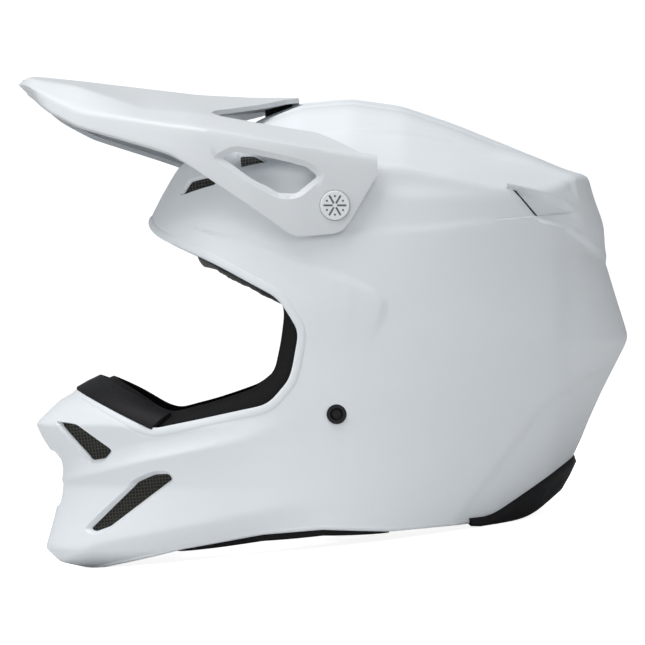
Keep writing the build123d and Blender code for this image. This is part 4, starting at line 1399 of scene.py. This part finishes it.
class HELMET_OT_finishes(bpy.types.Operator):
    """Give the pieces that keep their fitted shape their paint, rubber and metal finishes"""

    bl_idname = "helmet.finishes"
    bl_label = "Finishes"

    def execute(self, context):
        for name, nodes in KEPT.items():
            for node in nodes:
                dress(node, finish_of(name))
        return {"FINISHED"}


# ---- Studio -------------------------------------------------------------------------------------
CAMERA_DISTANCE = 2.3
VIEW_WIDTH = 0.384  # what the picture spans at the centre plane
SENSOR = 36.0
AIR_GLOW, AIR_SEEN = 0.32, 1.1  # the air's strength as a light, and as the camera sees it
LIGHTS_AIM = (0, 0, 0.14)
SOFT_BOXES = {  # place, width, power
    "overhead": ((0.45, -0.4, 1.75), 1.1, 26),
    "side_fill": ((2.2, 0.7, 1.0), 1.0, 9),
    "front_fill": ((0.9, -2.2, 0.85), 1.0, 12),
}


def soft_box(name, place, width, power):
    """A square area light that looks at the helmet's middle."""
    light = bpy.data.lights.new(name, "AREA")
    light.shape, light.size, light.size_y, light.energy = "RECTANGLE", width, width, power
    lamp = bpy.data.objects.new(name, light)
    bpy.context.scene.collection.objects.link(lamp)
    lamp.location = place
    lamp.rotation_euler = (Vector(LIGHTS_AIM) - Vector(place)).to_track_quat("-Z", "Y").to_euler()


class HELMET_OT_studio(bpy.types.Operator):
    """Build the pale floor, the soft lights and the camera"""

    bl_idname = "helmet.studio"
    bl_label = "Studio"

    def execute(self, context):
        scene = context.scene
        bm = bmesh.new()
        bmesh.ops.create_circle(bm, cap_ends=True, segments=96, radius=14)
        floor = finish_mesh(bm, "studio_floor", Matrix.Translation((0, 0, -0.0004)))
        finish = Finish("studio_white", Roughness=0.9, Specular_IOR_Level=0.05, Emission_Strength=0.9)
        cloud = finish.noise(0.6, 1)
        finish.feed(Base_Color=finish.tint(cloud, (0.74, 0.74, 0.74), (0.77, 0.77, 0.77)))
        seen = finish.node("ShaderNodeLightPath").outputs["Is Camera Ray"]
        finish.feed(Emission_Color=finish.tint(seen, (0, 0, 0), (1, 1, 1)))
        floor.data.materials.append(finish.material)

        world = bpy.data.worlds.new("studio_air")
        world.use_nodes = True
        air = world.node_tree
        glow = air.nodes["Background"]
        glow.inputs["Color"].default_value = (0.96, 0.98, 1.0, 1)
        seen = air.nodes.new("ShaderNodeLightPath").outputs["Is Camera Ray"]
        level = air.nodes.new("ShaderNodeMapRange")
        level.inputs["To Min"].default_value, level.inputs["To Max"].default_value = AIR_GLOW, AIR_SEEN
        air.links.new(seen, level.inputs["Value"])
        air.links.new(level.outputs[0], glow.inputs["Strength"])
        scene.world = world

        for name, values in SOFT_BOXES.items():
            soft_box(name, *values)

        camera = bpy.data.objects.new("camera", bpy.data.cameras.new("camera"))
        scene.collection.objects.link(camera)
        turn = Matrix.Rotation(-STANDING_TILT, 3, "X")
        axes = Matrix(((0, 0, 1), (1, 0, 0), (0, 1, 0)))
        camera.rotation_mode = "QUATERNION"
        camera.rotation_quaternion = (turn @ axes).to_quaternion()
        camera.location = LEVEL_TO_ROW @ Vector((CAMERA_DISTANCE / MM, 0, 0))
        camera.data.sensor_width = SENSOR
        camera.data.lens = SENSOR * CAMERA_DISTANCE / VIEW_WIDTH
        camera.data.clip_start, camera.data.clip_end = 0.05, 60
        scene.camera = camera
        scene.view_settings.view_transform = "Standard"
        return {"FINISHED"}


class HELMET_PT_panel(bpy.types.Panel):
    """The helmet's pieces and sizes"""

    bl_idname = "HELMET_PT_panel"
    bl_label = "Motocross Helmet"
    bl_space_type = "VIEW_3D"
    bl_region_type = "UI"
    bl_category = "Helmet"

    def draw(self, context):
        for name in HelmetSettings.__annotations__:
            self.layout.prop(context.scene.helmet, name)
        for operator in OPERATORS:
            self.layout.operator(operator.bl_idname)


OPERATORS = (HELMET_OT_shell, HELMET_OT_trims, HELMET_OT_visor, HELMET_OT_foam, HELMET_OT_padding,
             HELMET_OT_strap, HELMET_OT_finishes, HELMET_OT_studio)


def register():
    for kind in (HelmetSettings, *OPERATORS, HELMET_PT_panel):
        bpy.utils.register_class(kind)
    bpy.types.Scene.helmet = bpy.props.PointerProperty(type=HelmetSettings)


def unregister():
    del bpy.types.Scene.helmet
    for kind in (HELMET_PT_panel, *reversed(OPERATORS), HelmetSettings):
        bpy.utils.unregister_class(kind)


def main():
    register()
    bpy.ops.helmet.shell()
    bpy.ops.helmet.trims()
    bpy.ops.helmet.visor()
    bpy.ops.helmet.foam()
    bpy.ops.helmet.padding()
    bpy.ops.helmet.strap()
    bpy.ops.helmet.finishes()
    bpy.ops.helmet.studio()


if __name__ == "__main__":
    main()
